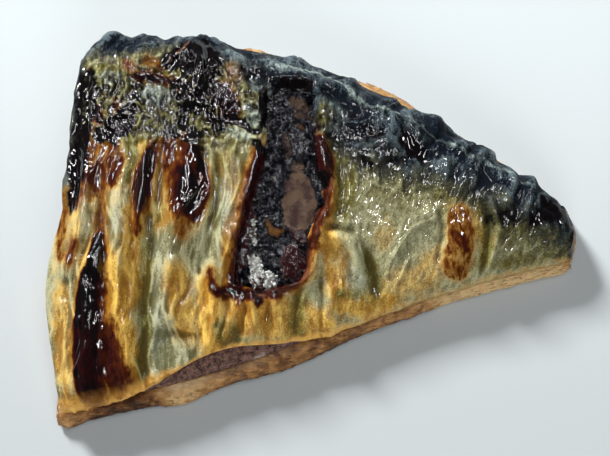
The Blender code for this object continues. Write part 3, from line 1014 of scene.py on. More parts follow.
@dataclass(frozen=True)
class FleshFinish:
    """Cooked flesh: pale inside the flakes, browned and oily where it shows."""

    pale: Colour = linear(216, 182, 130)
    tan: Colour = linear(180, 134, 82)
    brown: Colour = linear(112, 74, 42)
    dark: Colour = linear(62, 38, 22)
    lilac: Colour = linear(126, 116, 118)

    fibre_stretch: Triple = (0.25, 1.0, 1.4)
    fibre_depth: float = 0.25
    lump_depth: float = 0.2
    film_roughness: float = 0.18
    glow: float = 0.2
    glow_reach: float = 1.5

    def material(self) -> Material:
        """Build the finish.

        Returns:
            A material that reads the flesh's stored numbers.
        """
        s = Shader.begin("browned_flesh")
        fine = s.place()
        fibre = s.noise(s.place(self.fibre_stretch), 2.4, 5, 0.6)
        cloud = s.noise(fine, 0.5, 5, 0.6)
        # The stored browning also holds painted shade at the foot and in the clefts.
        brown = s.add(s.read("browning"), s.sway(cloud, 0.16))
        brown = s.add(brown, s.sway(fibre, 0.05))
        colour = s.ramp(brown, (
            (0.1, self.pale), (0.4, self.tan), (0.7, self.brown), (0.95, self.dark),
        ))
        lilac = s.add(s.read("lilac"), s.sway(cloud, 0.2))
        colour = s.lay(colour, self.lilac, lilac, 0.3, 0.8)
        lumps = s.bump((fibre, self.fibre_depth), (s.noise(fine, 1.6, 4), self.lump_depth))
        return s.dress(
            Base_Color=colour, Roughness=s.fit(fibre, *CLOUD_RANGE, (0.4, 0.65)),
            Specular_IOR_Level=0.15, Coat_Weight=s.fit(cloud, 0.35, 0.65, (0.15, 0.7)),
            Coat_Roughness=self.film_roughness, Subsurface_Weight=self.glow,
            Subsurface_Radius=(1.0, 0.5, 0.25), Subsurface_Scale=self.glow_reach * MM, Normal=lumps,
        )


@dataclass(frozen=True)
class CrumbFinish:
    """Dry crumbs and flakes of one colour, paler where they are worn."""

    name: str
    body: Colour
    worn: Colour
    shine: float = 0.3
    speck_depth: float = 0.12

    def material(self) -> Material:
        """Build the finish."""
        s = Shader.begin(self.name)
        speck = s.noise(s.place(), 2.2, 4, 0.65)
        return s.dress(
            Base_Color=s.lay(self.body, self.worn, speck, 0.35, 0.65),
            Roughness=s.fit(speck, *CLOUD_RANGE, (0.4, 0.7)), Specular_IOR_Level=0.15,
            Coat_Weight=self.shine, Coat_Roughness=0.15, Normal=s.bump((speck, self.speck_depth)),
        )


# ---- scattered pieces

# The stored direction in which a surface's long lumps lie.
GRAIN_AXES = ("grain_x", "grain_y", "grain_z")


@dataclass(frozen=True)
class Scatter:
    """Spreads copies of one small lump over a surface with Geometry Nodes.

    The surface stores "share", how much of the density holds at a point, and
    the direction of its grain.
    """

    name: str
    density: float
    smallest: Triple
    largest: Triple
    seed: int
    tilt: float = 0.4
    turn: float = math.pi
    sides: int = 1
    sink: float = 0.2

    @property
    def inputs(self) -> dict[str, tuple[str, object]]:
        """Kind and value of each input of the node tree, in metres."""
        return {
            "Density": ("Float", self.density / MM**2),
            "Smallest": ("Vector", tuple(v * MM for v in self.smallest)),
            "Largest": ("Vector", tuple(v * MM for v in self.largest)),
            "Tilt": ("Float", self.tilt), "Turn": ("Float", self.turn),
            "Sink": ("Float", self.sink), "Seed": ("Int", self.seed),
        }

    def tree(self, material: Material) -> NodeTree:
        """Build the node tree.

        Args:
            material: The lumps' finish.

        Returns:
            A tree whose named inputs are its density, sizes, tilt and seed.
        """
        tree = bpy.data.node_groups.new(self.name, "GeometryNodeTree")
        face = tree.interface
        face.new_socket("Geometry", in_out="INPUT", socket_type="NodeSocketGeometry")
        for name, (kind, _) in self.inputs.items():
            face.new_socket(name, in_out="INPUT", socket_type=f"NodeSocket{kind}")
        face.new_socket("Geometry", in_out="OUTPUT", socket_type="NodeSocketGeometry")

        def node(kind: str, **inputs: object) -> Node:
            """Add a node and fill its inputs, by number (i0, i1, ...) or by name."""
            made = tree.nodes.new(kind)
            for key, value in inputs.items():
                socket = made.inputs[int(key[1:]) if key[1:].isdigit() else key]
                if isinstance(value, Socket):
                    tree.links.new(value, socket)
                else:
                    socket.default_value = value
            return made

        def stored(name: str) -> Socket:
            """Read a stored number of the surface."""
            made = node("GeometryNodeInputNamedAttribute", i0=name)
            made.data_type = "FLOAT"
            return made.outputs[0]

        def product(kind: str, a: object, b: object) -> Socket:
            """Multiply two numbers or two vectors."""
            made = node(kind, i0=a, i1=b)
            made.operation = "MULTIPLY"
            return made.outputs[0]

        def vector(a: object, b: object, c: object) -> Socket:
            """Make a vector of three numbers."""
            return node("ShaderNodeCombineXYZ", i0=a, i1=b, i2=c).outputs[0]

        def aligned(axis: str, pivot: str, **inputs: Socket) -> Socket:
            """Turn an axis towards a direction."""
            made = node("FunctionNodeAlignRotationToVector", **inputs)
            made.axis, made.pivot_axis = axis, pivot
            return made.outputs[0]

        def drawn(low: Socket, high: Socket, seed: Socket) -> Socket:
            """Draw a vector between two others for each point."""
            made = node("FunctionNodeRandomValue")
            made.data_type = "FLOAT_VECTOR"
            for key, value in ((0, low), (1, high), ("Seed", seed)):
                tree.links.new(value, made.inputs[key])
            return made.outputs[0]

        given = node("NodeGroupInput").outputs
        spread = node(
            "GeometryNodeDistributePointsOnFaces", i0=given["Geometry"],
            Density=product("ShaderNodeMath", stored("share"), given["Density"]),
            Seed=given["Seed"],
        ).outputs
        along = aligned("X", "AUTO", Vector=vector(*(stored(name) for name in GRAIN_AXES)))
        upright = aligned("Z", "X", Rotation=along, Vector=spread["Normal"])
        limits = vector(given["Tilt"], given["Tilt"], given["Turn"])
        lowest = product("ShaderNodeVectorMath", limits, (-1.0, -1.0, -1.0))
        turn = node("FunctionNodeEulerToRotation", i0=drawn(lowest, limits, given["Seed"]))
        aim = node("FunctionNodeRotateRotation", i0=upright, i1=turn.outputs[0])
        aim.rotation_space = "LOCAL"
        later = node("ShaderNodeMath", i0=given["Seed"], i1=1.0)
        lump = node("GeometryNodeMeshIcoSphere", i0=1.0, i1=self.sides)
        lower = vector(0.0, 0.0, product("ShaderNodeMath", given["Sink"], -1.0))
        sunk = node("GeometryNodeTransform", Geometry=lump.outputs["Mesh"], Translation=lower)
        copies = node(
            "GeometryNodeInstanceOnPoints", Points=spread["Points"], Instance=sunk.outputs[0],
            Rotation=aim.outputs[0],
            Scale=drawn(given["Smallest"], given["Largest"], later.outputs[0]),
        )
        real = node("GeometryNodeRealizeInstances", i0=copies.outputs[0])
        dressed = node("GeometryNodeSetMaterial", i0=real.outputs[0], Material=material)
        node("NodeGroupOutput", i0=dressed.outputs[0])
        return tree

    def build(
        self, surface: Mesh, share: Points, grain: Points, material: Material,
        slot: str,
    ) -> Object:
        """Scatter over a copy of a surface and give the result to the frame.

        Args:
            surface: The mesh to scatter over.
            share: For each of its points, how much of the density holds.
            grain: For each of its points, the way in which long lumps lie.
            material: The lumps' finish.
            slot: Not used.

        Returns:
            One plain mesh piece.
        """
        ground = surface.copy()
        add_attribute(ground, "share", share)
        for axis, name in enumerate(GRAIN_AXES):
            add_attribute(ground, name, grain[:, axis])
        carrier = bpy.data.objects.new(f"{self.name}_ground", ground)
        bpy.context.scene.collection.objects.link(carrier)
        modifier = carrier.modifiers.new("scatter", "NODES")
        modifier.node_group = self.tree(material)
        for item in modifier.node_group.interface.items_tree:
            if item.in_out == "INPUT" and item.name in self.inputs:
                modifier[item.identifier] = self.inputs[item.name][1]
        ready = carrier.evaluated_get(bpy.context.evaluated_depsgraph_get())
        mesh = bpy.data.meshes.new_from_object(ready)
        carrier.modifiers.remove(modifier)
        bpy.data.objects.remove(carrier)
        mesh.shade_smooth()
        piece = new_piece(self.name, mesh, material)
        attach(piece, BODY)
        return piece


# ---- the skin


FOLDS = strokes(
    ((-40.5, 6, -41, -10, -39.6, -22, -38.5, -34), 2.4, 1.9),
    ((-48.6, 10, -48.4, -4, -51, -14), 1.5, 1.2),
    ((-51.2, 34, -52.4, 14, -53.2, 2), 1.5, 1.2),
    ((-46, -8, -46.6, -22, -46.4, -38), 2.6, 1.4),
    ((-36, 14, -36.4, 2, -37.4, -6), 1.4, 1.3),
    ((-26, 14, -27.4, 3, -30, -10, -30.4, -24), 2.6, 1.9),
    ((-17, 12, -17.8, 0, -20.4, -14, -21, -28), 2.1, 1.4),
    ((-12, -19, -13, -26), 2, 1.3),
    ((-16, -19.6, -18.4, -27), 1.3, 0.8),
    ((-8, -19, -7.4, -26), 1.4, 0.8),
    ((3.4, -17, 3, -26), 1.7, 1),
    ((0.5, -6, 7, -7.4, 10, -14), 1.6, 1.9),
    ((2.6, -2, 8, -3.4), 1.4, 0.6),
    ((28, 1, 21, -3, 15.6, -12), 1.4, 0.35),
    ((30.6, -1.6, 31, -6, 29.8, -12), 3.2, 0.9, 1, None, 0.3),
    ((-28, 40, -24.6, 34, -26.6, 24), 2.6, 2),
    ((-34, 31.6, -30, 35.6, -27.4, 39), 0.7, 1),
    ((-39.6, 30.8, -34, 28.8, -29, 25.6), 0.7, 0.9),
    ((-47, 47, -45, 40), 2.6, 1.8),
    ((-38, 47, -37, 38), 2.4, 1.2),
    ((-32, 47, -31, 41), 1.8, 1.4),
    ((-25, 47, -25, 38), 2.4, 1.7),
    ((-3, 42, -4, 34), 2.6, 0.9),
    ((10, 38, 8, 31), 2.2, 0.9),
    ((28.6, 26, 26, 18), 2.2, 1.4),
    ((38.4, 19, 35, 12), 2.2, 1.5),
    ((48.8, 11, 46, 5), 2, 1.3),
    ((-12, 33, 0, 29.6, 10, 25, 18, 21, 27, 15.6), 1.6, 0.9, 1, None, 0.2),
    ((24, 20, 34, 13.6, 44, 6), 1.6, 0.8, 1, None, 0.2),
    ((37.4, 3, 38.8, -4, 37, -11), 0.9, 1.1),
    # The blistered film beside the burst.
    ((1.4, 13.6, 2.2, 10, 1.8, 7), 1.5, 0.8),
    # The thick fried edge of the skin at the cut's belly corner.
    ((-52, -40.8, -45, -40.2, -37, -38, -30, -35.4), 0.9, 0.6),
    # Thin crests that catch the light.
    ((-45, 31, -43.8, 26.6, -45.2, 22), 0.3, 0.4),
    ((-41.8, 30.6, -40.4, 27, -41, 22), 0.3, 0.4),
    ((-38.6, 28, -37, 24.4), 0.3, 0.4),
    ((-33.4, 24, -33, 20, -34, 16), 0.3, 0.4),
    ((-22.4, 19.6, -21.4, 15.4, -22.4, 12), 0.3, 0.4),
    ((-18, 17.2, -15, 15.4, -11.6, 15), 0.3, 0.35),
    ((-13.4, 27, -11.8, 23), 0.3, 0.35),
    ((-19.6, 31.6, -17.4, 27.6), 0.3, 0.4),
    ((-40.6, -11, -40.2, -18, -40.6, -25), 0.4, 0.3),
    ((-36.6, 22.6, -37.4, 18, -38.2, 14), 0.32, 0.5),
    ((-23.6, 6, -26.4, 1, -29.4, -4), 0.32, 0.4),
    ((-21.8, 4.6, -23.4, 1, -25.8, -2.4), 0.3, 0.4),
    ((28.4, 0.6, 25, -2, 20.5, -4.5, 17, -9, 15, -13.4), 0.4, 0.25),
    ((-47.4, 9, -48.2, 2, -49.4, -7), 0.3, 0.4),
    ((-38, 9.4, -38.2, 3), 0.34, 0.4),
    ((-33.2, 10, -33.6, 4, -34.4, -2), 0.3, 0.3),
    ((-24.4, -13, -23.4, -20, -24, -27), 0.3, 0.3),
    ((-17.4, -6, -18.8, -13), 0.3, 0.3),
    ((5, -11, 5.6, -17), 0.3, 0.35),
    ((9.6, -8, 11.4, -13.4), 0.3, 0.35),
    ((20, -10, 17.4, -15), 0.3, 0.3),
    ((18.4, 6.6, 18.6, 3.6, 21, -0.4), 0.4, 0.3),
    ((-50, 30.6, -47.8, 33, -45.4, 34.4), 0.34, 0.4),
)

CREASES = strokes(
    ((-34.6, 0, -34.6, -16, -35, -34), 1.2, 1.2),
    ((-43.4, -4, -43, -16), 0.8, 0.6),
    ((-20.6, 8, -21.2, -2, -23.6, -14), 1, 1.1),
    ((-31.8, 8, -33, -4), 1, 0.8),
    ((-45.4, 8, -44.6, -2, -47.4, -10), 0.9, 0.7),
    ((-3.4, -12, -3.8, -20, -4.6, -28), 1.1, 1.1),
    ((11.6, -9, 12.8, -17), 1.1, 1.1),
    ((1.2, -14, 1.4, -24), 0.6, 0.6),
    ((26, -10, 27.2, -4, 26.4, 0), 0.8, 0.6),
    ((36.2, 2, 36.8, -4, 35.4, -12), 0.8, 0.9),
    ((-30, -26, -24, -26.6), 1.1, 0.8),
    ((-19.4, 19.6, -15.6, 18.8, -12.6, 16.4), 0.8, 1.5),
    ((-33.2, 30.2, -31, 33.4, -29, 36), 1.2, 1.2),
    ((-27.6, 36, -27, 31), 0.8, 1),
    ((0, 17, 4.6, 15.4, 9, 16), 1.5, 0.35),
    ((18.4, 16.6, 21.6, 13, 24, 11), 1.6, 1.4),
    ((-23.4, 36, -23, 26), 0.7, 0.9),
    ((-8.4, -18.6, -10, -23), 0.6, 0.6),
    ((-14.2, -19, -15, -26), 0.6, 0.6),
    ((5.2, 13, 6, 6, 5, 0, 3, -6), 1.2, 0.6),
)

SCORCHES = strokes(
    # The big char at the cut's belly corner: black above, dark red-brown below.
    ((-45, -6.6, -45.6, -12, -46.2, -17), 1, 0.98, 0.45, 1.8, 0.8),
    ((-46.6, -15, -47, -20, -47.4, -25), 1.7, 0.9, 0.5, 3.6, 0.35),
    ((-47.2, -24, -46.9, -31, -46.2, -37.4), 2, 0.8, 0.7, 4.6, 0.1),
    ((-43, -26, -41.8, -32, -40.2, -36.8), 1.4, 0.6, 2, 3, 0.2),
    ((-41, -30.6, -39.2, -34, -37.6, -36), 0.8, 0.46, 1.6, 1.6),
    ((-44.8, -20, -44.8, -28, -44.4, -34), 0.3, 0.92, 1.2, 1.6, 0.6),
    ((-44.4, 0, -44.8, -8), 0.6, 0.36, 1.6),
    # The cut end.
    ((-48.6, 16, -48.4, 9, -49, 2), 0.6, 0.46, 0.8, 3, 0.4),
    ((-52.2, 3, -53.2, -5, -53, -11), 0.5, 0.34, 1, 2.4),
    ((-49.8, -8, -50.4, -12), 0.6, 0.4, 2),
    ((-48.8, 6, -49.4, 0), 0.6, 0.4, 2),
    # Brown zone of the cut, under the black patch.
    ((-47, 13, -45, 8, -45.6, 3), 1.4, 0.4, 2.8, 3),
    ((-42.8, 14, -42, 9, -42.2, 6), 1.2, 0.46, 2.4, 1.4),
    ((-46.8, 7.4, -46.4, 4.6), 0.8, 0.56, 1.4),
    ((-42.8, 6.6, -42.2, 4.4), 0.7, 0.56, 1.2),
    ((-46.8, 21.6, -46.2, 18.6), 0.7, 0.74, 1),
    # Orange-brown blisters below the back.
    ((-36.6, 33.4, -33.8, 31.8), 0.9, 0.26, 1.8),
    ((-41, 32.6, -39.4, 30.8), 0.7, 0.34, 1.6),
    ((-38.4, 29.6, -34, 29, -30.4, 27.6), 0.5, 0.76, 1.2),
    ((-18.6, 31.6, -18, 28), 0.8, 0.28, 1.2, 2.4),
    ((-22, 26.6, -19.6, 25, -18, 21), 1.4, 0.78, 1.4, 1.8),
    ((-42.6, 23.4, -42.4, 20.6), 0.4, 0.36, 1.4),
    ((-33, 13, -30, 13.4, -26, 14), 1.2, 0.46, 2.2),
    # The brown ridge and the brown patch over the flank.
    ((-34.6, 11.4, -36, 5, -36.6, -1), 0.9, 0.86, 1.6, 1.8, 0.7),
    ((-36.8, 0, -37.2, -6), 0.7, 0.36, 1.6),
    ((-31, 14, -30, 9, -29.4, 5), 1.2, 0.44, 2.6, 2.4),
    ((-26.6, 12, -25.6, 8), 1.8, 0.58, 2.2, 1.4),
    ((-27, 6.6, -26, 2.6, -26.2, 0), 1.8, 0.9, 4.2, 1.8, 0.5),
    ((-23.6, 8, -23.4, 3, -24.8, -2), 0.9, 0.62, 2, 1.2),
    ((-26.4, -2, -27.6, -6), 0.4, 0.34, 2.8),
    # Gold bands down the flank.
    ((-37.4, -8, -37, -13, -38.2, -19), 0.6, 0.16, 2.4),
    ((-28, -12, -28, -18, -27, -26), 0.4, 0.14, 1.6),
    ((-22.4, -15, -21.6, -22, -21, -30), 0.5, 0.14, 2),
    ((-21.6, -14, -20.4, -18.4), 0.5, 0.44, 1.8),
    # Round the burst.
    ((-11.2, 11, -12.8, 4, -14, -3, -15.4, -11, -16.2, -17), 0.9, 0.7, 2.3, 0.8, 0.1),
    ((0.6, 14.6, 2.2, 10.6, 2.4, 6.6), 1.4, 0.66, 0.6, 0.9, 0.2),
    ((2.6, 5, 2.4, 1, 0.6, -3, -0.6, -8), 0.5, 0.6, 0.8, 1.8, 0.2),
    ((-1.8, -8, -2.6, -13, -5, -16.2, -10, -17.6), 0.4, 0.6, 0.8, 2.4, 0.1),
    ((-8, -18, -14, -18.2, -20, -18), 0.4, 0.7, 1.8, 1.8, 0.2),
    ((-11.4, -17.4, -11.6, -20), 0.3, 0.84, 1.2),
    ((-14.6, -18.6, -16, -20.4), 0.2, 0.36, 1.4),
    ((-16.6, -20, -18, -27), 0.4, 0.2, 1.8),
    ((-13.6, -19.6, -14.6, -26), 0.4, 0.24, 2),
    ((-9.4, -20, -9, -25), 0.4, 0.24, 2),
    ((1, -4, 2.6, -8), 0.4, 0.22, 2),
    ((4.2, -13, 3.2, -22), 0.2, 0.2, 1.2),
    # The amber blister before the tail, with its halo.
    ((30.4, -1.2, 30.8, -6, 29.6, -12), 2.5, 0.35, 0.4, 1.4, 0.15),
    ((29.6, -5, 32, -7.4), 1, 0.5, 1.7),
    ((28, -9, 28.4, -12.4), 0.3, 0.36, 1.4),
    ((27, 1.4, 31, 1.2, 34.6, -1.4, 35, -7, 33, -12), 0.4, 0.1, 1.6),
    # The edges of the skin along the belly.
    ((12, -20, 20, -17.4, 26, -15.4), 0.6, 0.12, 2.4),
    ((-0.4, 19, -0.2, 13, 0.4, 8, 1.6, 4.8), 0.5, 0.95, 0.6),
)

SOOTS_AND_SHADOWS = strokes(
    # The cut end and the black patches below the back.
    ((-49.1, 30.4, -49.2, 22, -49.6, 13), 1.5, 0.85, 1, 1.2, 0.2),
    ((-49.4, 17, -49.8, 9, -50.8, -1), 1.4, 0.9, 0.9, 1.2, 0.95),
    ((-45.4, 15.6, -42, 17, -40, 20), 2.4, 1, 0.9),
    ((-40, 18, -39.2, 23, -38.6, 26), 1.2, 0.85, 0.9),
    ((-46.4, 26.2, -44.4, 27), 0.8, 0.85, 0.8),
    ((-31, 33.6, -28.4, 35, -27, 31), 2.6, 1, 0.6, 0.8, 0.2),
    ((-24.6, 38, -24.2, 31, -24.2, 25), 1.9, 1, 0.8, 1.2),
    ((-21.8, 35, -21.4, 30, -21.8, 26), 0.9, 0.8, 1, 0.9),
    ((-29, 27, -27, 24, -22.4, 23.6), 2.5, 0.9, 1.4),
    ((-31, 16.4, -27, 16.6, -25, 13), 1.7, 0.8, 1.4),
    ((-28.6, 21, -28, 16), 1.2, 0.8, 1),
    ((-24.4, 15, -24.2, 8), 0.7, 0.6, 0.9),
    ((-22, 20.4, -20, 17.4), 1.4, 0.9, 1.2),
    ((-19.6, 19.8, -15.8, 18.8, -12.6, 16.4), 0.7, 1, 0.6),
    ((-12.6, 13.8, -10.4, 12), 0.7, 0.9, 0.7),
    ((-10.8, 26, -10.8, 18), 0.8, 0.9, 0.9),
    ((-26.8, 4, -26, 0), 1, 0.4, 1.2),
    ((-46.2, -12, -46.8, -19), 0.9, 0.6, 1.8),
    # Soot in the wrinkles of the crumpled skin below the back.
    ((-47, 24, -38, 23, -28, 22, -18, 24), 6, 0.5, 5),
    ((-20, 32, -12, 28, -12, 18), 2.5, 0.4, 3),
    ((3, 21, 14, 15, 24, 12), 3, 0.24, 5),
    # Round the burst, with painted shadow under the lifted film, and the folded black holes of the
    # back.
    ((-8, 27.6, -4, 28, -1, 27.2), 0.8, 1, 1),
    ((0.2, 19, 6, 17, 12, 15.4), 1.2, 0.5, 3),
    # Painted shadow: black under the lifted film beside the burst.
    ((1, 7.4, 2.4, 5.2), 0.8, 0.9, 0.6),
    ((19.4, 15.6, 22.6, 12.4), 1.8, 0.95, 1),
    ((10.6, 12.6, 11.8, 9), 0.6, 0.7, 0.8),
    ((-14.2, -5, -15.4, -12), 0.7, 0.6, 0.8),
    ((49, 3, 52.6, 1.2), 1, 0.8, 0.9),
    ((55.2, 2, 56.4, -4, 55.8, -10), 1, 0.8, 1.2),
    ((38, -1.4, 46, -1, 53, -0.4), 0.9, 0.62, 2.2),
    ((-23, 36, -21, 34.6), 1.2, 0.7, 1.6),
    ((12, 17, 16, 12.4), 1.6, 0.6, 2.6),
)

GOLDS = strokes(
    ((-13.8, 9, -15.6, 1, -17.6, -7, -18.4, -13), 0.8, 0.8, 1.6),
    ((4.6, 4, 3.4, -3, 1.4, -9), 0.6, 0.7, 1.8),
    ((-53.4, -8, -53.4, -14, -52.4, -26), 0.6, 0.36, 1.2),
    ((-52.4, -18, -51.6, -30, -50, -40), 1, 0.7, 1.8),
    ((-43.4, -10, -41, -22, -37, -34), 2, 1, 2.4),
    ((-38, -2, -37.4, -12, -38, -20), 1.6, 1, 2.4),
    ((-50, -41, -42, -40, -34, -37), 1.4, 1, 2.4),
    ((-34, 10, -31.6, 0, -33, -4), 1.8, 0.7, 2.4),
    ((-46, 8, -42, 2), 3, 0.45, 3.4),
    ((-37, 16, -36, 12), 1.4, 0.8, 2.2),
    ((-33.4, 16, -32.6, 12), 0.8, 0.7, 1.6),
    ((-26.6, 20.6, -25.6, 18.4), 0.9, 1, 1),
    ((-22, -16, -21, -30), 1.6, 1, 2.4),
    ((-29, -14, -26, -26), 1.6, 0.8, 2.8),
    ((-16, -21, -8, -23, 2, -25), 3.4, 0.8, 3),
    ((1, -6, 4, -9, 6, -20, 16, -18.6), 1.4, 0.85, 2.4),
    ((14, -17, 22, -13.6, 27, -10), 1.6, 0.55, 3.4),
    ((15, -3, 14, -8), 1.4, 0.4, 2.4),
    ((35, 0, 36.4, -6), 1.2, 0.7, 2),
    ((1.2, 24, 1.2, 19.6), 0.8, 0.4, 1.2),
    ((-19, 10, -17, 4), 2, 0.5, 3),
    ((3.4, 3, 4.6, -2), 0.8, 0.5, 2.4),
    ((-50, 2, -49.4, -6), 0.8, 0.6, 2),
    ((-22, 30, -16, 24), 1.6, 0.6, 2),
)

# Yellow-green of the skin, and dark green-brown painted as shade down valleys and creases, beside
# the burst's lip and under the back near the tail.
MOSSES_AND_SHADES = strokes(
    ((-48, 27, -38, 24, -28, 22, -16, 23), 7.5, 1, 5),
    ((-53, 4, -53.6, -4), 0.6, 0.8, 1.6),
    ((-46, 10, -38, 10, -28, 11), 3, 0.4, 4),
    ((-38.4, 18, -38.6, 12, -39, 6), 1, 0.9, 1.6),
    ((-23, 18, -18, 12, -14, 10), 3.4, 0.6, 4),
    ((-34.8, -3, -34.8, -18, -35, -35), 0.8, 0.8, 1.8),
    ((-31.6, 9, -32.4, -2), 0.8, 0.7, 2),
    ((-20.6, 6, -21.4, -4), 0.8, 0.8, 2),
    ((-45.6, 3, -44, -3), 1, 0.5, 2),
    ((-12.6, 8, -13.6, 2), 1, 0.4, 2.6),
    ((-19, -25, -15, -28), 1.4, 0.8, 2.4),
    ((-2.6, -12, -4, -27), 0.8, 0.7, 1.8),
    ((5, -18, 13, -18.6), 0.8, 0.6, 2.4),
    ((11.6, -10, 12.6, -17), 0.8, 0.8, 2),
    ((4.8, 13, 6, 6, 5, -1), 1.6, 1, 1.6, 4),
    ((8, 6, 18, 4.6, 34, 2.4), 3, 0.5, 5),
    ((26, 3, 34, 2.4, 36.8, -3, 35.4, -11), 0.9, 0.9, 2),
    ((38, -3, 46, -3, 54, -3), 3.4, 0.7, 4),
    ((38, -2.2, 46, -1.8, 53, -1), 1.4, 1, 1.8),
    ((38, -10.6, 46, -9.6, 54, -8), 0.6, 0.7, 1.6),
    ((1.6, 24, 2.4, 19), 1.6, 0.9, 2.4),
    ((36, 10, 44, 5), 1.4, 0.5, 2),
)

# Painted sheen: pale silver-blue patches, and pale painted highlight lines along the back's crest.
FROST_SHEENS = strokes(
    ((-36, 25, -32, 24.6), 1.8, 0.9, 1.8),
    ((-45.6, 29.4, -42.4, 29), 1.2, 0.6, 1.6),
    ((-13.4, 28, -11, 26), 1.2, 0.9, 1.6),
    ((-13.6, 21.4, -11.8, 18.6), 1.2, 0.9, 1.4),
    ((-18, 17, -14, 15.4), 0.8, 0.7, 1.2),
    ((-42, 2, -40.4, -6), 1, 0.5, 2),
    ((-32.4, -6, -32, -20, -32, -34), 0.8, 0.4, 1.8),
    ((-19, 4, -17, -6), 1.4, 0.5, 2.6),
    ((5, -11, 9, -15.4), 1.4, 0.5, 2.4),
    ((38, -5, 46, -5.4, 53, -5), 2, 0.2, 2.5),
    ((3.4, 23, 5.6, 19), 1.4, 0.6, 2),
    ((9, 25, 18, 20.6, 25, 16), 1.2, 0.2, 3),
    ((-8.5, 32.2, -2, 31.6, 5.5, 29.5, 9.9, 24.6, 18.5, 21.8), 0.25, 0.8, 0.6),
    ((18.5, 21.4, 26, 17, 33.6, 12.6, 40.6, 9.2, 46.5, 6), 0.2, 0.55, 0.6),
    ((-20, 36, -12, 32, -4, 31), 1.6, 0.3, 3),
)

EDGES = strokes(
    # Thin rolled edges: the rim of the burst, the torn tent, pale crests; partly painted highlight.
    ((3.9, 12, 4.2, 9, 3.5, 5, 2.6, 1, 0.8, -3), 0.08, 0.5, 0.5),
    ((0.8, -3, -0.4, -8, -1.4, -13, -3.6, -16.4, -8, -18), 0.12, 0.6, 0.5),
    ((-6, -17.9, -10, -18.3, -15, -18.4, -19, -18.4), 0.1, 0.6, 0.4),
    ((-13.6, 6, -15.2, 0, -16.8, -7), 0.1, 0.5, 0.4),
    ((-33.6, 31.6, -30.6, 35.2, -27.8, 38.4), 0.1, 0.6, 0.3),
    ((-39.6, 31, -34, 28.9, -29, 25.6), 0.06, 0.6, 0.3),
    ((-50, 30.8, -47.8, 33.1, -45.4, 34.6), 0.06, 0.5, 0.3),
)

# Each tint's strokes, how far their edges stray, and over what length.
PAINTED: dict[Tint, tuple[Strokes, float, float]] = {
    Tint.SCORCH: (SCORCHES, 0.5, 2.4),
    Tint.SOOT_AND_SHADOW: (SOOTS_AND_SHADOWS, 0.9, 1.6),
    Tint.GOLD: (GOLDS, 1.3, 4.0),
    Tint.MOSS_AND_SHADE: (MOSSES_AND_SHADES, 1.2, 3.4),
    Tint.FROST_SHEEN: (FROST_SHEENS, 1.1, 2.2),
    Tint.EDGE: (EDGES, 0.3, 3.0),
}


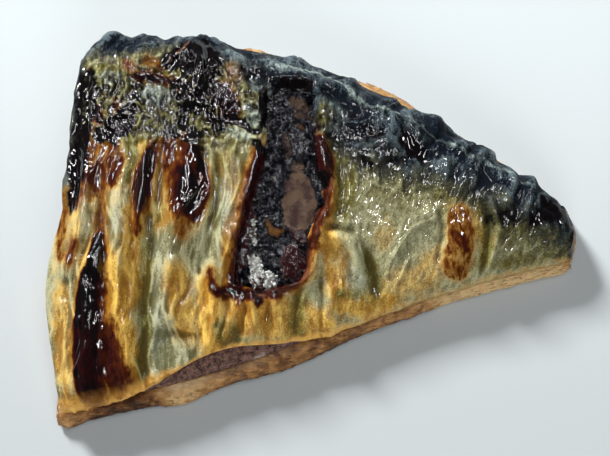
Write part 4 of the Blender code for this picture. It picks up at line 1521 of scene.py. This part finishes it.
@dataclass(frozen=True)
class Skin:
    """The skin: one thick sheet, split open over the flank."""

    columns_to_burst: int = 184
    columns_after_burst: int = 256
    rows: int = 176
    coarse: int = 4
    calm_rounds: int = 60
    halo_rounds: int = 50
    halo_gold: float = 1.7
    hollow_rounds: int = 14
    hollow_depth: float = 0.5
    thinnest: float = 0.3
    shrunk_x: float = -19.0
    shrunk_width: float = 13.0
    shrunk_depth: float = 4.4
    lowest: float = -0.25
    dip: float = 0.6
    highest: float = 16.3
    swell: float = 0.85
    rim_width: float = 1.3
    stray_along: float = 1.8
    stray_stretch: float = 1.7
    ruffled: Patch = Patch((8, 15), (9, 6), 0.45)
    pocket: Patch = Patch((-28, 34), (3.6, 4), 0.8)
    bared: Patch = Patch((2.4, 21.2), (2.0, 3.2), 0.9)
    slate_edge: Path = (
        (-56, 36), (-46, 34.6), (-40, 35), (-34, 36), (-30, 37), (-20, 32), (-12, 26), (-2, 18),
        (8, 10.4), (18, 7.6), (28, 5.4), (38, 0.8), (48, -4), (58, -6.8),
    )
    finish: SkinFinish = SkinFinish()

    def shrunk_back(self, u: Points) -> Points:
        """Width of the strip along the belly that the skin leaves bare."""
        x = FORM.belly_edge(u)[..., 0]
        strip = self.shrunk_depth * bell(x, self.shrunk_x, self.shrunk_width)
        return strip * smooth((x - FORM.cut_x) / self.shrunk_width)

    def parameters(self) -> tuple[Points, Points]:
        """Spread the sheet's points so that one column splits round the burst.

        Returns:
            u and v of each point, for the columns before and after the split;
            the split column is there twice.
        """
        share = np.linspace(0, 1, self.rows + 1)
        guess = np.linspace(0, 1, 64)
        v_rows = FORM.rows_between(guess, 0.0, self.shrunk_back(guess), share)
        sides = []
        for side in (BURST.belly_side, BURST.tail_side):
            u = np.full(self.rows + 1, (BURST.middle_x(0.0) - FORM.cut_x) / FORM.length)
            for _ in range(12):
                v = np.array([np.interp(a, guess, v_rows[:, j]) for j, a in enumerate(u)])
                place = FORM.plan(u, v)
                y = place[:, 1]
                middle = BURST.middle_x(np.clip(y, BURST.bottom, BURST.top))
                aim = blend(middle, BURST.edge_x(y, side), BURST.gape(y))
                u = u + (aim - place[:, 0]) / FORM.length
            sides.append(u)
        near, far = (blurred(side[:, None], self.calm_rounds)[None, :, 0] for side in sides)
        onto = np.linspace(0, 1, self.columns_to_burst + 1)[:, None]
        before = onto * near + onto**6 * (sides[0] - near)
        onward = np.linspace(0, 1, self.columns_after_burst + 1)[:, None]
        after = far + (1 - far) * onward + (1 - onward) ** 6 * (sides[1] - far)
        u = np.concatenate([before, after])
        v = np.empty_like(u)
        for j in range(self.rows + 1):
            v[:, j] = np.interp(u[:, j], guess, v_rows[:, j])
        return u, v

    def split_rows(self, y: Points) -> tuple[int, int]:
        """Rows between which the split column is open, on the coarse grid."""
        rows = np.flatnonzero((y > BURST.bottom) & (y < BURST.top))
        first = (rows[0] - 1) // self.coarse * self.coarse
        last = -(-(rows[-1] + 1) // self.coarse) * self.coarse
        return int(first), int(last)

    def tints(self, xy: Points) -> dict[Tint, Points]:
        """Work out the painted numbers of the skin.

        Args:
            xy: Places in the outline.

        Returns:
            One value for each place and tint, about 0 to 1.
        """
        x, y = xy[..., 0], xy[..., 1]
        made = {}
        for number, (tint, (drawn, sway, grain)) in enumerate(PAINTED.items()):
            seed = 100 + 10 * number
            reach, cell = (sway, self.stray_along * sway), (grain, self.stray_stretch * grain)
            made[tint] = paint(drawn, strayed(xy, (seed, seed + 5), reach, cell, 4))
        halo = self.halo_gold * blurred(made[Tint.SCORCH], self.halo_rounds)
        made[Tint.GOLD] = np.maximum(made[Tint.GOLD], np.minimum(halo, 1))
        made[Tint.SLATE] = self.slate(xy)
        made[Tint.RIM] = self.rim(xy)
        # Crumpled below the back, with more small wrinkles right of the burst's
        # top, and smooth in the black pocket and along the cut.
        upper = smooth((y + 0.12 * x - 6) / 8) * (1 - 0.65 * smooth((x + 1) / 8))
        crinkle = np.clip(0.12 + 0.7 * upper + 0.2 * made[Tint.SOOT_AND_SHADOW], 0, 1)
        crinkle = crinkle * (1 - 0.85 * made[Tint.SLATE]) + self.ruffled.cover(xy)
        crinkle = crinkle * (1 - self.pocket.cover(xy))
        made[Tint.CRINKLE] = crinkle * (1 - 0.7 * smooth((-47.4 - x) / 1.6))
        return made

    def slate(self, xy: Points) -> Points:
        """The slate of the back, from 0 on the flank to 1 along the back.

        It is worn off beside the burst's top, and shows again along the cut.
        """
        x, y = xy[..., 0], xy[..., 1]
        line = np.array(self.slate_edge)
        edge = np.interp(x, line[:, 0], line[:, 1])
        drift = 2.4 * Grain(41).layered(x / 4.5, y / 5, 4)
        reach = 7.0 + 7.0 * smooth((x + 12) / 20) + 4.0 * smooth((x - 28) / 12)
        worn_cut = 0.7 * smooth((-49.3 - x) / 1.8) * smooth((y + 4) / 8)
        slate = np.clip(0.5 + (y - edge + drift) / reach, 0, 1)
        return np.maximum(slate - self.bared.cover(xy), worn_cut)

    def rim(self, xy: Points) -> Points:
        """The fried edge of the skin along the belly, 1 on the edge."""
        x, y = xy[..., 0], xy[..., 1]
        edge = FORM.belly_edge(np.linspace(0, 1, 80))
        strip = self.shrunk_back(np.linspace(0, 1, 80))
        inward = y - np.interp(x, edge[:, 0], edge[:, 1] + strip)
        inward = inward + 0.7 * Grain(43).layered(x / 2.4, y / 2.4, 3)
        width = self.rim_width * (1 + 0.3 * bell(x, -48, 6) - 0.55 * smooth((x + 32) / 6))
        shown = (1 - 0.5 * smooth((x - 4) / 10)) * (1 - 0.3 * bell(x, -44, 3.6))
        return np.clip(1.25 - inward / (1.9 * width), 0, 1) * shown

    def folds(self, xy: Points) -> Points:
        """Height of the folds over the smooth form, less their creases."""
        bent = strayed(xy, (3, 4), (0.7, 0.7), (6, 9), 2)
        raised, sunk = np.zeros(xy.shape[:-1]), np.zeros(xy.shape[:-1])
        for fold in FOLDS:
            ridge = fold.ridge(bent)
            raised = np.maximum(raised, ridge) if fold.width > 0.5 else raised + ridge
        for crease in CREASES:
            sunk = np.maximum(sunk, crease.ridge(bent))
        return raised - sunk

    def wrinkles(self, xy: Points, crinkle: Points, slate: Points) -> tuple[Points, Points]:
        """Long wrinkles of the flank, crumpled film, and the back's round lumps.

        Args:
            xy: Places in the outline.
            crinkle: How strongly the skin is crumpled at each place.
            slate: How far each place belongs to the back.

        Returns:
            Height over the folds, in millimetres, and how much each place is a
            crest, 0 to 1.
        """
        x, y = xy[..., 0], xy[..., 1]
        lean = 0.9 * Grain(5)(x / 9, y / 9)
        left = smooth((2 - x) / 26)
        turn = 0.52 * smooth((x + 20) / 40)
        along, across = x * np.cos(turn) - y * np.sin(turn), x * np.sin(turn) + y * np.cos(turn)
        long = Grain(11).ridged(x / 2.9 + lean, y / 12, 3)
        tail = Grain(14).ridged(along / 2.2 + lean, across / 5.5, 3)
        fine = Grain(12).ridged(x / 1.9 + lean, y / 2.9, 2)
        swells = Grain(15).layered(along / 4.2 + lean, across / 8, 2)
        veins = Grain(18).ridged(along / 5 + lean, across / 13, 2) ** 6
        plain = blend(tail, long, left)
        border = (1 - left) * 4 * slate * (1 - slate)
        height = (blend(0.16, 0.84, left) + 0.2 * border) * (plain - 0.6) * (1 - 0.6 * slate**2)
        height = height + 1.0 * (fine - 0.6) * crinkle + (1.2 * swells - 0.5 * veins) * slate
        crest = blend(plain, fine, smooth(1.6 * crinkle - 0.2))
        lumpy = smooth(0.45 + 0.7 * swells) * (1 - veins)
        crest = smooth((crest - 0.35) / 0.55)
        crest = blend(0.5, crest, blend(0.4, 1.0, left))
        crest = blend(crest, lumpy, smooth(1.5 * slate - 0.3))
        return height + 0.25 * Grain(13).layered(x / 6, y / 9, 2), crest

    def lip(self, xy: Points) -> Points:
        """Lips round the burst: rolled up, then diving to the crust."""
        away = np.maximum(-BURST.inside(xy), 0)
        roll = 1.0 + 0.35 * Grain(21)(xy[..., 0] / 3, xy[..., 1] / 3)
        crest = BURST.lip_height * bell(away, BURST.lip_away, BURST.lip_width) * roll
        return crest - BURST.lip_dive * bell(away, 0.0, BURST.dive_width)

    def mesh(self) -> Mesh:
        """Build the sheet with its thickness and the split's walls.

        Returns:
            The mesh, with its stored numbers.
        """
        u, v = self.parameters()
        xyz, out = FORM.surface(u, v, 0.0), FORM.outward(u, v)
        xy = xyz[..., :2].copy()
        folds = self.folds(xy)
        tints = self.tints(xy)
        # Crests and hollows make the finish's painted highlight and painted shade.
        wrinkles, tints[Tint.CREST] = self.wrinkles(xy, tints[Tint.CRINKLE], tints[Tint.SLATE])
        height = folds + wrinkles
        hollow = (blurred(height, self.hollow_rounds) - height) / self.hollow_depth
        tints[Tint.HOLLOW] = np.clip(hollow, -1, 1)
        height = soft_floor(height, self.lowest, self.dip) + self.lip(xy)
        top = xyz + out * height[..., None]
        top[..., 2] = soft_ceiling(top[..., 2], self.highest, self.swell)
        under = xyz - out * np.maximum(FORM.skin_thickness, self.thinnest - height)[..., None]
        split, step = self.columns_to_burst, self.coarse
        first, last = self.split_rows(xy[split, :, 1])
        mould = Mould()
        upper = self.weld(mould.add(top), split, first, last)
        skip = np.zeros((u.shape[0] - 1, u.shape[1] - 1), bool)
        skip[split] = True
        mould.sheet(upper, skip)
        chosen = np.r_[0 : split + 1 : step, split + 1 : u.shape[0] : step]
        low_split = split // step
        lower = mould.add(under[chosen][:, ::step])
        lower = self.weld(lower, low_split, first // step, last // step)
        hole = np.zeros((len(chosen) - 1, lower.shape[1] - 1), bool)
        hole[low_split] = True
        mould.sheet(lower, hole, over=True)
        whole = np.delete(upper, split + 1, 0), np.delete(lower, low_split + 1, 0)
        mould.step_down(rim_of(whole[0]), rim_of(whole[1]))
        rows, low_rows = slice(first, last + 1), slice(first // step, last // step + 1)
        mould.hang(upper[split, rows], lower[low_split, low_rows])
        mould.hang(upper[split + 1, rows][::-1], lower[low_split + 1, low_rows][::-1])
        return mould.mesh("skin_sheet", {
            tint.value: np.append(values, values[chosen][:, ::step])
            for tint, values in tints.items()
        })

    @staticmethod
    def weld(numbers: Points, split: int, first: int, last: int) -> Points:
        """Make the doubled column one where the split is closed."""
        numbers = numbers.copy()
        numbers[split + 1, : first + 1] = numbers[split, : first + 1]
        numbers[split + 1, last:] = numbers[split, last:]
        return numbers

    def build(self) -> Object:
        """Make the finished piece and give it to the frame."""
        piece = new_piece("skin_grilled", self.mesh(), self.finish.material())
        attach(piece, BODY)
        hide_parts("skin")
        return piece


# ---- the dark meat


@dataclass(frozen=True)
class DarkMeat:
    """The dark meat under the skin, with the crust that shows in the burst."""

    columns: int = 260
    rows: int = 170
    coarse: int = 5
    # Heights of the crust's crags, lumps, pits and clots, and of the bare meat's
    # lumps, which swell outside the burst.
    crag_height: float = 0.42
    crag_sink: float = 0.12
    lump_height: float = 0.35
    pit_depth: float = 0.4
    clot_height: float = 0.9
    meat_height: float = 0.12
    swollen_height: float = 0.4
    # How far the crust rises well inside the burst, and at its sides.
    level_inside: float = 0.35
    level_beside: float = 0.15
    # Crumbs lie this far inside, face up at least so much, and keep to patches.
    crumbs_inside: float = 0.3
    crumbs_upward: float = 0.2
    patch_size: float = 2.6
    patch_share: float = 0.4
    ash_from: float = 0.5
    finish: DarkMeatFinish = DarkMeatFinish()
    char_finish: CrumbFinish = CrumbFinish("char_crumbs", linear(13, 12, 17), linear(32, 33, 42))
    ash_finish: CrumbFinish = CrumbFinish(
        "ash_flakes", linear(236, 240, 236), linear(150, 152, 148), 0.5
    )
    char: Scatter = Scatter(
        "crumbs_char", density=2.4, smallest=(0.12, 0.1, 0.06), largest=(0.62, 0.42, 0.26), seed=71
    )
    ash: Scatter = Scatter(
        "flakes_ash", density=3.2, smallest=(0.3, 0.3, 0.06), largest=(0.75, 0.6, 0.14), seed=73,
        tilt=0.7,
    )
    windows: Strokes = strokes(
        ((-3.4, 4.8, -3.2, 1, -3.8, -2.4), 3.1, 1, 0.7, None, 0.2),
        ((-3.6, 9.4, -3.4, 7.6), 0.9, 0.7, 1.2),
        ((-6.2, 16, -5.6, 11.4), 0.3, 0.55, 1.2),
        ((-4.4, 23.8, -2, 22.8), 1, 0.6, 1.6),
        ((-4.4, 20.8, -1.2, 20.4), 0.5, 0.5, 1.2),
    )
    tans: Strokes = strokes(
        ((-9.6, -2.8, -8.8, -4.8, -6.6, -4.6), 0.3, 0.8, 0.7),
        ((-3.4, 18.2, -2.6, 17.6), 0.4, 0.55, 1),
    )
    ashes: Strokes = strokes(
        ((-12.6, -10.6, -12, -13, -12.2, -16), 1.1, 0.9, 0.7),
        ((-9.6, -13.6, -9.4, -16), 0.8, 0.9, 0.6),
        ((-13, -1, -12.8, -8), 0.3, 0.6, 0.6),
    )
    membranes: Strokes = strokes(
        ((-27, -36.8, -20, -34.8, -15, -32.6, -10.6, -29.6), 0.2, 0.75, 0.7),
    )
    clots: Strokes = strokes(
        ((-4.6, -9.6, -4.6, -13.6), 2.2, 1, 0.8),
        ((-13.6, 2, -14.2, -4, -15.2, -12), 0.8, 1, 0.6),
        ((-4, -5.4, -1.6, -6.4), 1.2, 0.9, 0.7),
        ((-12, -17, -11.4, -15.4), 0.7, 0.9, 0.6),
    )

    def bare(self, xy: Points) -> dict[str, Points]:
        """How much the crust leaves bare, by what shows there.

        Args:
            xy: Places in the outline.

        Returns:
            The stored numbers "tan", "silver", "clot", "soot" and "sunk".
        """
        bent = strayed(xy, (52, 55), (1.1, 1.4), (2.2, 2.2), 4)
        windows, tan, ash = (paint(made, bent) for made in (self.windows, self.tans, self.ashes))
        open_share = smooth(BURST.inside(xy) + 2.5)
        clot = paint(self.clots, bent)
        soot = open_share * (1 - np.maximum(np.maximum(windows, clot), np.maximum(tan, ash)))
        silver = np.maximum(ash, paint(self.membranes, blend(xy, bent, 0.3)))
        return {"tan": tan, "silver": silver, "clot": clot, "soot": soot, "sunk": open_share}

    def relief(self, xy: Points, bare: dict[str, Points]) -> Points:
        """Crags of the crust, and the meat's faint lumps."""
        x, y = xy[..., 0], xy[..., 1]
        inside = BURST.inside(xy)
        crust = self.crag_height * Grain(51).ridged(x / 1.2, y / 1.4, 4) - self.crag_sink
        crust = crust + self.lump_height * Grain(59).layered(x / 2.2, y / 2.6, 2)
        pits = self.pit_depth * smooth(Grain(53)(x / 2.6, y / 2.6) * 2 - 0.3)
        level = self.level_inside * smooth(inside / 2) + self.level_beside * smooth(inside + 1)
        lumps = self.meat_height * Grain(54).layered(x / 1.6, y / 1.6, 3)
        swollen = self.swollen_height * smooth(-inside)
        lumps = lumps + swollen * Grain(57).layered(x / 2.0, y / 1.2, 3)
        clots = self.clot_height * bare["clot"] * Grain(56).ridged(x / 1.7, y / 1.7, 2)
        return (crust - pits) * bare["soot"] + level + lumps + clots

    def mesh(self) -> Mesh:
        """Build the layer, closed below by a coarser face.

        Returns:
            The mesh, with its stored numbers.
        """
        depth = FORM.skin_thickness + FORM.layer_gap
        even = np.linspace(0, 1, self.columns + 1)
        closer = np.interp(even, (0, 0.3, 0.75, 1), (0, 0.3, 0.55, 1))
        u_line = closer * (1 - FORM.tail_inset * depth / FORM.length)
        share = np.linspace(0, 1, self.rows + 1)
        v = FORM.rows_between(u_line, depth, np.zeros_like(u_line), share)
        u = np.repeat(u_line[:, None], self.rows + 1, 1)
        top = FORM.surface(u, v, depth)
        xy = top[..., :2].copy()
        bare = self.bare(xy)
        top[..., 2] += self.relief(xy, bare)
        mould = Mould()
        upper = mould.add(top)
        mould.sheet(upper)
        u_low, v_low = u[:: self.coarse, :: self.coarse], v[:: self.coarse, :: self.coarse]
        lower = mould.add(FORM.surface(u_low, v_low, depth) - (0, 0, FORM.dark_thickness))
        mould.sheet(lower, over=True)
        mould.step_down(rim_of(upper), rim_of(lower))
        return mould.mesh("dark_meat_sheet", bare)

    def build(self) -> Object:
        """Make the finished piece and give it to the frame."""
        piece = new_piece("dark_meat_crusted", self.mesh(), self.finish.material())
        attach(piece, BODY)
        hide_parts("dark_meat")
        return piece

    def crumbs(self, crusted: Object) -> list[Object]:
        """Scatter char crumbs and pale ash flakes over the crust.

        Args:
            crusted: The finished dark meat.

        Returns:
            One piece for each kind.
        """
        mesh = crusted.data
        points = fetched(mesh.vertices, "co", 3) / MM
        xy = points[:, :2]
        soot, silver = (
            fetched(mesh.attributes[name].data, "value", 1)[:, 0] for name in ("soot", "silver")
        )
        inside = BURST.inside(xy) > self.crumbs_inside
        grain = np.tile((0.0, 1.0, 0.0), (len(points), 1))
        facing = fetched(mesh.vertex_normals, "vector", 3)[:, 2] > self.crumbs_upward
        x, y = (xy / self.patch_size).T
        black = soot * inside * facing * smooth(self.patch_share + Grain(58).layered(x, y, 2))
        white = (silver > self.ash_from) * inside * facing
        return [
            self.char.build(mesh, black, grain, self.char_finish.material(), "dark_meat"),
            self.ash.build(mesh, white, grain, self.ash_finish.material(), "dark_meat"),
        ]


# ---- the flesh


@dataclass(frozen=True)
class Flesh:
    """The flesh: a domed top, sides that flare below the skin, a flat foot."""

    columns: int = 400
    rows: int = 240
    wall_rows: int = 28
    coarse: int = 8
    hidden_share: float = 0.99
    flake_depth: float = 0.55
    fibre_depth: float = 0.12
    swell_depth: float = 0.5
    tuck: float = 0.5
    shelf: float = 3.3
    # The side's loops: share of the flare, inset and height, going down.
    profile: tuple[Triple, ...] = ((0.15, 0, 3.2), (0.8, 0, 1.9), (1, 0, 0.9), (1, 0.5, 0))
    # The flare at the foot: lumps along each edge, and what is between them.
    belly_lumps: tuple[Triple, ...] = ((1.3, -54, 6), (1.3, -28, 4.5), (1.1, -5, 8))
    back_lumps: tuple[Triple, ...] = ((2.4, 15, 9), (1.8, -14, 5))
    cut_lumps: tuple[Triple, ...] = ((1.8, -44, 6),)
    back_flare: float = 1.2
    cut_flare: float = 0.4
    tail_flare: float = 0.3
    flare_easing: int = 22
    # How brown the cut is, by Y, and the rim along the belly, by X.
    cut_browning: Path = ((-44, 0.34), (-30, 0.4), (-12, 0.3), (30, 0.4), (44, 0.5))
    belly_browning: Path = (
        (-56, 0.3), (-50, 0.36), (-46, 0.7), (-36, 0.82), (-32, 0.5), (-29, 0.12), (-25, 0.22),
        (-20, 0.5), (0, 0.52), (6, 0.56), (22, 0.44), (28, 0.06), (50, 0.04), (56, 0.3),
    )
    tail_browning: float = 0.45
    back_browning: float = 0.34
    browning_easing: int = 12
    # The foot is painted darker by this much as shade, less from here on towards the tail.
    foot_height: float = 2.6
    foot_shade: float = 0.35
    foot_shade_tail: float = 0.12
    foot_tail_x: float = 26.0
    # Painted shade: clefts deeper than this are darker, and shallower ones paler.
    cleft_shade: float = 0.25
    cleft_middle: float = 0.4
    # Strands lie between these heights, on faces this steep, rising a little.
    strand_heights: Pair = (0.5, 3.6)
    strand_upward: float = 0.8
    strand_rise: float = 0.12
    torn: Scatter = Scatter(
        "strands_muscle", density=1.1, smallest=(0.5, 0.09, 0.07), largest=(1.5, 0.2, 0.14),
        seed=77, tilt=0.1, turn=0.3, sink=0.1,
    )
    finish: FleshFinish = FleshFinish()

    def flare(self, xy: Points, side: Points) -> Points:
        """How far the flesh stands out past the skin, near its foot."""
        x, y = xy[:, 0], xy[:, 1]
        belly = FORM.flare + humps(x, self.belly_lumps)
        back = humps(x, self.back_lumps, self.back_flare)
        cut = humps(y, self.cut_lumps, self.cut_flare)
        tail = np.full_like(x, self.tail_flare)
        return self.eased(np.choose(side, [belly, tail, back, cut]), self.flare_easing)

    @staticmethod
    def eased(values: Points, rounds: int) -> Points:
        """Smooth numbers that run round a closed loop."""
        for _ in range(rounds):
            values = (np.roll(values, 1) + 2 * values + np.roll(values, -1)) / 4
        return values

    def browning(self, xy: Points, side: Points) -> Points:
        """How brown the rim is at each point of the outline."""
        belly, cut = (
            np.interp(xy[:, axis], *np.array(stops).T)
            for axis, stops in enumerate((self.belly_browning, self.cut_browning))
        )
        tail, back = (np.full_like(belly, v) for v in (self.tail_browning, self.back_browning))
        return self.eased(np.choose(side, [belly, tail, back, cut]), self.browning_easing)

    def lilac(self, xy: Points, side: Points) -> Points:
        """How much of the cut end is grey rather than browned."""
        cut = 0.85 * smooth((xy[:, 1] + 18) / 10)
        none = np.zeros(len(xy))
        belly = 0.35 * bell(xy[:, 0], -16, 7)
        return self.eased(np.choose(side, [belly, none, none, cut]), self.browning_easing)

    def wall(
        self, rim_top: Points, edge: Points, out: Points, reach: Points
    ) -> tuple[Points, Points]:
        """Shape the sides from the layer's rim down to the foot.

        Args:
            rim_top: Rim of the flesh's top face.
            edge: The outline at each point of that rim.
            out: Direction out of the outline there.
            reach: How far the flesh stands out past the outline.

        Returns:
            Rows of points from the rim to the foot, and how deep a cleft each lies
            in, 0 to 1.
        """
        def ring(share: float, inset: float, height: float) -> Points:
            """Loop at one height, this share of the way out, less an inset."""
            flat = edge + out * (share * reach - inset)[:, None]
            return np.column_stack([flat, np.full(len(edge), height)])

        low = np.minimum(rim_top[:, 2] - self.tuck, self.shelf)
        keys = [
            rim_top, np.column_stack([rim_top[:, :2], low]), *(ring(*step) for step in self.profile)
        ]
        rows = []
        for stop in np.linspace(0, len(keys) - 1, self.wall_rows + 1):
            k = min(int(stop), len(keys) - 2)
            rows.append(blend(keys[k], keys[k + 1], stop - k))
        wall = np.stack(rows)
        steps = np.linalg.norm(np.diff(edge, axis=0, append=edge[:1]), axis=1)
        around, level = np.cumsum(steps), wall[..., 2]
        around = np.broadcast_to(around, level.shape)
        flakes = Grain(61).ridged(around / 4.6 + 0.5 * level, level / 1.7, 3)
        fibre = Grain(62).layered(around / 1.8, level / 0.45, 3)
        swell = Grain(63).layered(around / 7, level / 4, 2)
        hold = np.sin(np.pi * np.linspace(0, 1, self.wall_rows + 1)) ** 0.5
        push = self.flake_depth * (flakes - 0.5) + self.fibre_depth * fibre
        push = push + self.swell_depth * swell
        wall[..., :2] += out[None] * (push * hold[:, None])[..., None]
        return wall, 1 - flakes

    def mesh(self) -> Mesh:
        """Build the flesh as one closed mesh.

        Returns:
            The mesh, with its stored numbers.
        """
        depth = FORM.skin_thickness + FORM.dark_thickness + 2 * FORM.layer_gap
        u_line = np.linspace(0, 1, self.columns + 1)
        u_in = u_line * (1 - FORM.tail_inset * depth / FORM.length)
        share = np.linspace(0, 1, self.rows + 1)
        v = FORM.rows_between(u_in, depth, np.zeros_like(u_in), share)
        u = np.repeat(u_in[:, None], self.rows + 1, 1)
        top = FORM.surface(u, v, depth)
        rim = rim_of(np.arange(u.size).reshape(u.shape))
        sides = np.repeat([0, 1, 2, 3], [self.columns, self.rows, self.columns, self.rows])
        full_v = (v - v[:, :1]) / (v[:, -1:] - v[:, :1])
        full_u = np.repeat(u_line[:, None], self.rows + 1, 1)
        edge = FORM.plan(full_u.ravel()[rim], full_v.ravel()[rim])
        tangent = np.roll(edge, -1, 0) - np.roll(edge, 1, 0)
        out = np.stack([tangent[:, 1], -tangent[:, 0]], 1)
        out /= np.linalg.norm(out, axis=1, keepdims=True)
        wall, clefts = self.wall(top.reshape(-1, 3)[rim], edge, out, self.flare(edge, sides))
        mould = Mould()
        loops = mould.add(wall)
        hidden = top[:: self.coarse, :: self.coarse].copy()
        hidden[..., :2] = blend(hidden[..., :2].mean((0, 1)), hidden[..., :2], self.hidden_share)
        low = mould.add(hidden)
        mould.sheet(low)
        for k in range(self.wall_rows):
            mould.band(loops[k], loops[k + 1])
        mould.step_down(loops[0][::-1], rim_of(low)[::-1])
        mould.faces.append(tuple(int(i) for i in loops[-1][::-1]))
        # Painted shade: darker towards the foot and in the deep clefts.
        low_down = smooth(1 - wall[..., 2] / self.foot_height)
        near_tail = edge[:, 0] > self.foot_tail_x
        foot = self.eased(np.where(near_tail, self.foot_shade_tail, self.foot_shade), 30)
        brown = self.browning(edge, sides)[None] + foot * low_down
        brown = brown + self.cleft_shade * (clefts - self.cleft_middle)
        grey = np.broadcast_to(self.lilac(edge, sides), brown.shape) * (1 - 0.8 * low_down)
        return mould.mesh("flesh_body", {"browning": brown, "lilac": grey})

    def build(self) -> Object:
        """Make the finished piece and give it to the frame."""
        piece = new_piece("flesh_flaked", self.mesh(), self.finish.material())
        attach(piece, BODY)
        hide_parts("flesh")
        return piece

    def strands(self, flaked: Object) -> Object:
        """Lay torn muscle strands along the sides.

        Args:
            flaked: The finished flesh.

        Returns:
            One piece of many strands.
        """
        mesh = flaked.data
        points = fetched(mesh.vertices, "co", 3) / MM
        facing = fetched(mesh.vertex_normals, "vector", 3)
        low, high = self.strand_heights
        side = (points[:, 2] > low) & (points[:, 2] < high)
        side &= np.abs(facing[:, 2]) < self.strand_upward
        rise = np.full(len(points), self.strand_rise)
        grain = np.stack([-facing[:, 1], facing[:, 0], rise], 1)
        return self.torn.build(mesh, side.astype(float), grain, self.finish.material(), "flesh")


# ---- the studio


class Shows(Enum):
    """Where a light shows."""

    SHADING = "shading"
    GLOSS = "gloss"


@dataclass(frozen=True)
class Lamp:
    """One soft light.

    It hangs at place, in metres. Its size is its width and its length, and a
    tube lies along the longer one.
    """

    name: str
    place: Triple
    size: Pair
    watts: float
    shows: Shows

    def hang(self) -> None:
        """Add the light, aimed at the fillet where it shades the surfaces."""
        data = bpy.data.lights.new(self.name, "AREA")
        data.shape = "RECTANGLE"
        data.size, data.size_y = self.size
        data.energy = self.watts
        lamp = bpy.data.objects.new(self.name, data)
        lamp.location = self.place
        if self.shows is Shows.SHADING:
            lamp.rotation_euler = (-Vector(self.place)).to_track_quat("-Z", "Y").to_euler()
        lamp.visible_diffuse = self.shows is not Shows.GLOSS
        lamp.visible_glossy = self.shows is not Shows.SHADING
        bpy.context.scene.collection.objects.link(lamp)


@dataclass(frozen=True)
class Studio:
    """Pale floor, soft light and the camera at the photograph's angle."""

    elevation: float = 70.0
    distance: float = 230.0
    look_at: Triple = (-2.0, -2.3, 6.0)
    focal_px: float = 1068.0
    image_px: float = 610.0
    sensor: float = 36.0
    floor_size: float = 1.2
    floor_roughness: float = 0.6
    # Painted shade: the floor darkens towards the camera, where less light falls.
    floor_near: Colour = linear(190, 196, 198)
    floor_far: Colour = linear(218, 226, 228)
    near_y: float = -60.0
    far_y: float = 70.0
    wall_light: float = 0.1
    ceiling_light: float = 0.035
    sky_tint: Colour = (0.97, 1.0, 1.02)
    lamps: tuple[Lamp, ...] = (
        Lamp("key", (-1.107, 1.553, 0.891), (0.42, 0.42), 86.0, Shows.SHADING),
        Lamp("ceiling", (0.05, 0.02, 0.55), (0.4, 0.4), 0.8, Shows.SHADING),
        Lamp("bounce", (0.05, -0.5, 0.22), (0.3, 0.2), 1.4, Shows.SHADING),
        Lamp("window", (-0.3, 0.36, 0.36), (0.04, 0.04), 1.5, Shows.GLOSS),
        Lamp("tube_0", (-0.17, 0.14, 0.6), (0.012, 0.3), 2.2, Shows.GLOSS),
        Lamp("tube_1", (0.2, 0.14, 0.6), (0.012, 0.3), 2.2, Shows.GLOSS),
        Lamp("tube_2", (0.0, 0.42, 0.5), (0.3, 0.012), 2.2, Shows.GLOSS),
    )

    def camera(self) -> None:
        """Place the camera and make it the scene's."""
        data = bpy.data.cameras.new("camera")
        data.sensor_width = self.sensor
        data.lens = self.focal_px / self.image_px * self.sensor
        camera = bpy.data.objects.new("camera", data)
        tilt = math.radians(self.elevation)
        target = Vector(self.look_at) * MM
        back = Vector((0, -math.cos(tilt), math.sin(tilt))) * self.distance * MM
        camera.location = target + back
        camera.rotation_euler = (-back).to_track_quat("-Z", "Y").to_euler()
        bpy.context.scene.collection.objects.link(camera)
        bpy.context.scene.camera = camera

    def sky(self) -> None:
        """Dim surroundings, brighter near the horizon than overhead."""
        world = bpy.data.worlds.new("sky")
        world.use_nodes = True
        tree = world.node_tree
        where = tree.nodes.new("ShaderNodeTexCoord")
        split = tree.nodes.new("ShaderNodeSeparateXYZ")
        ramp = tree.nodes.new("ShaderNodeValToRGB")
        stops = ((0.1, self.wall_light), (0.75, self.ceiling_light))
        for element, (at, level) in zip(ramp.color_ramp.elements, stops):
            element.color = (*(level * share for share in self.sky_tint), 1)
            element.position = at
        tree.links.new(where.outputs["Generated"], split.inputs[0])
        tree.links.new(split.outputs["Z"], ramp.inputs["Fac"])
        tree.links.new(ramp.outputs["Color"], tree.nodes["Background"].inputs["Color"])
        bpy.context.scene.world = world

    def floor(self) -> None:
        """Lay the pale floor under the fillet, painted darker towards the camera as shade."""
        half = self.floor_size / 2
        mesh = bpy.data.meshes.new("floor")
        corners = [(-half, -half, 0), (half, -half, 0), (half, half, 0), (-half, half, 0)]
        mesh.from_pydata(corners, [], [(0, 1, 2, 3)])
        s = Shader.begin("pale_floor")
        split = s.node("ShaderNodeSeparateXYZ", Vector=s.place())
        near, far = self.floor_near, self.floor_far
        shade = s.lay(near, far, split.outputs["Y"], self.near_y, self.far_y)
        s.dress(Base_Color=shade, Roughness=self.floor_roughness, Specular_IOR_Level=0.0)
        floor = new_piece("floor", mesh, s.material)

    def build(self) -> None:
        """Set up camera, floor, lights and sky."""
        self.camera()
        self.floor()
        for lamp in self.lamps:
            lamp.hang()
        self.sky()
        bpy.context.scene.view_settings.view_transform = "Standard"


def main() -> None:
    """Build every piece in order and note each one."""
    Studio().build()
    flesh, dark_meat, skin = Flesh(), DarkMeat(), Skin()
    flaked, crusted = flesh.build(), dark_meat.build()
    pieces = [flaked, crusted, skin.build(), flesh.strands(flaked), *dark_meat.crumbs(crusted)]
    for piece in pieces:
        piece.data.calc_loop_triangles()
        LOG.info("%s: %d triangles", piece.name, len(piece.data.loop_triangles))


if __name__ == "__main__":
    logging.basicConfig(level=logging.INFO, format="%(name)s %(message)s")
    main()
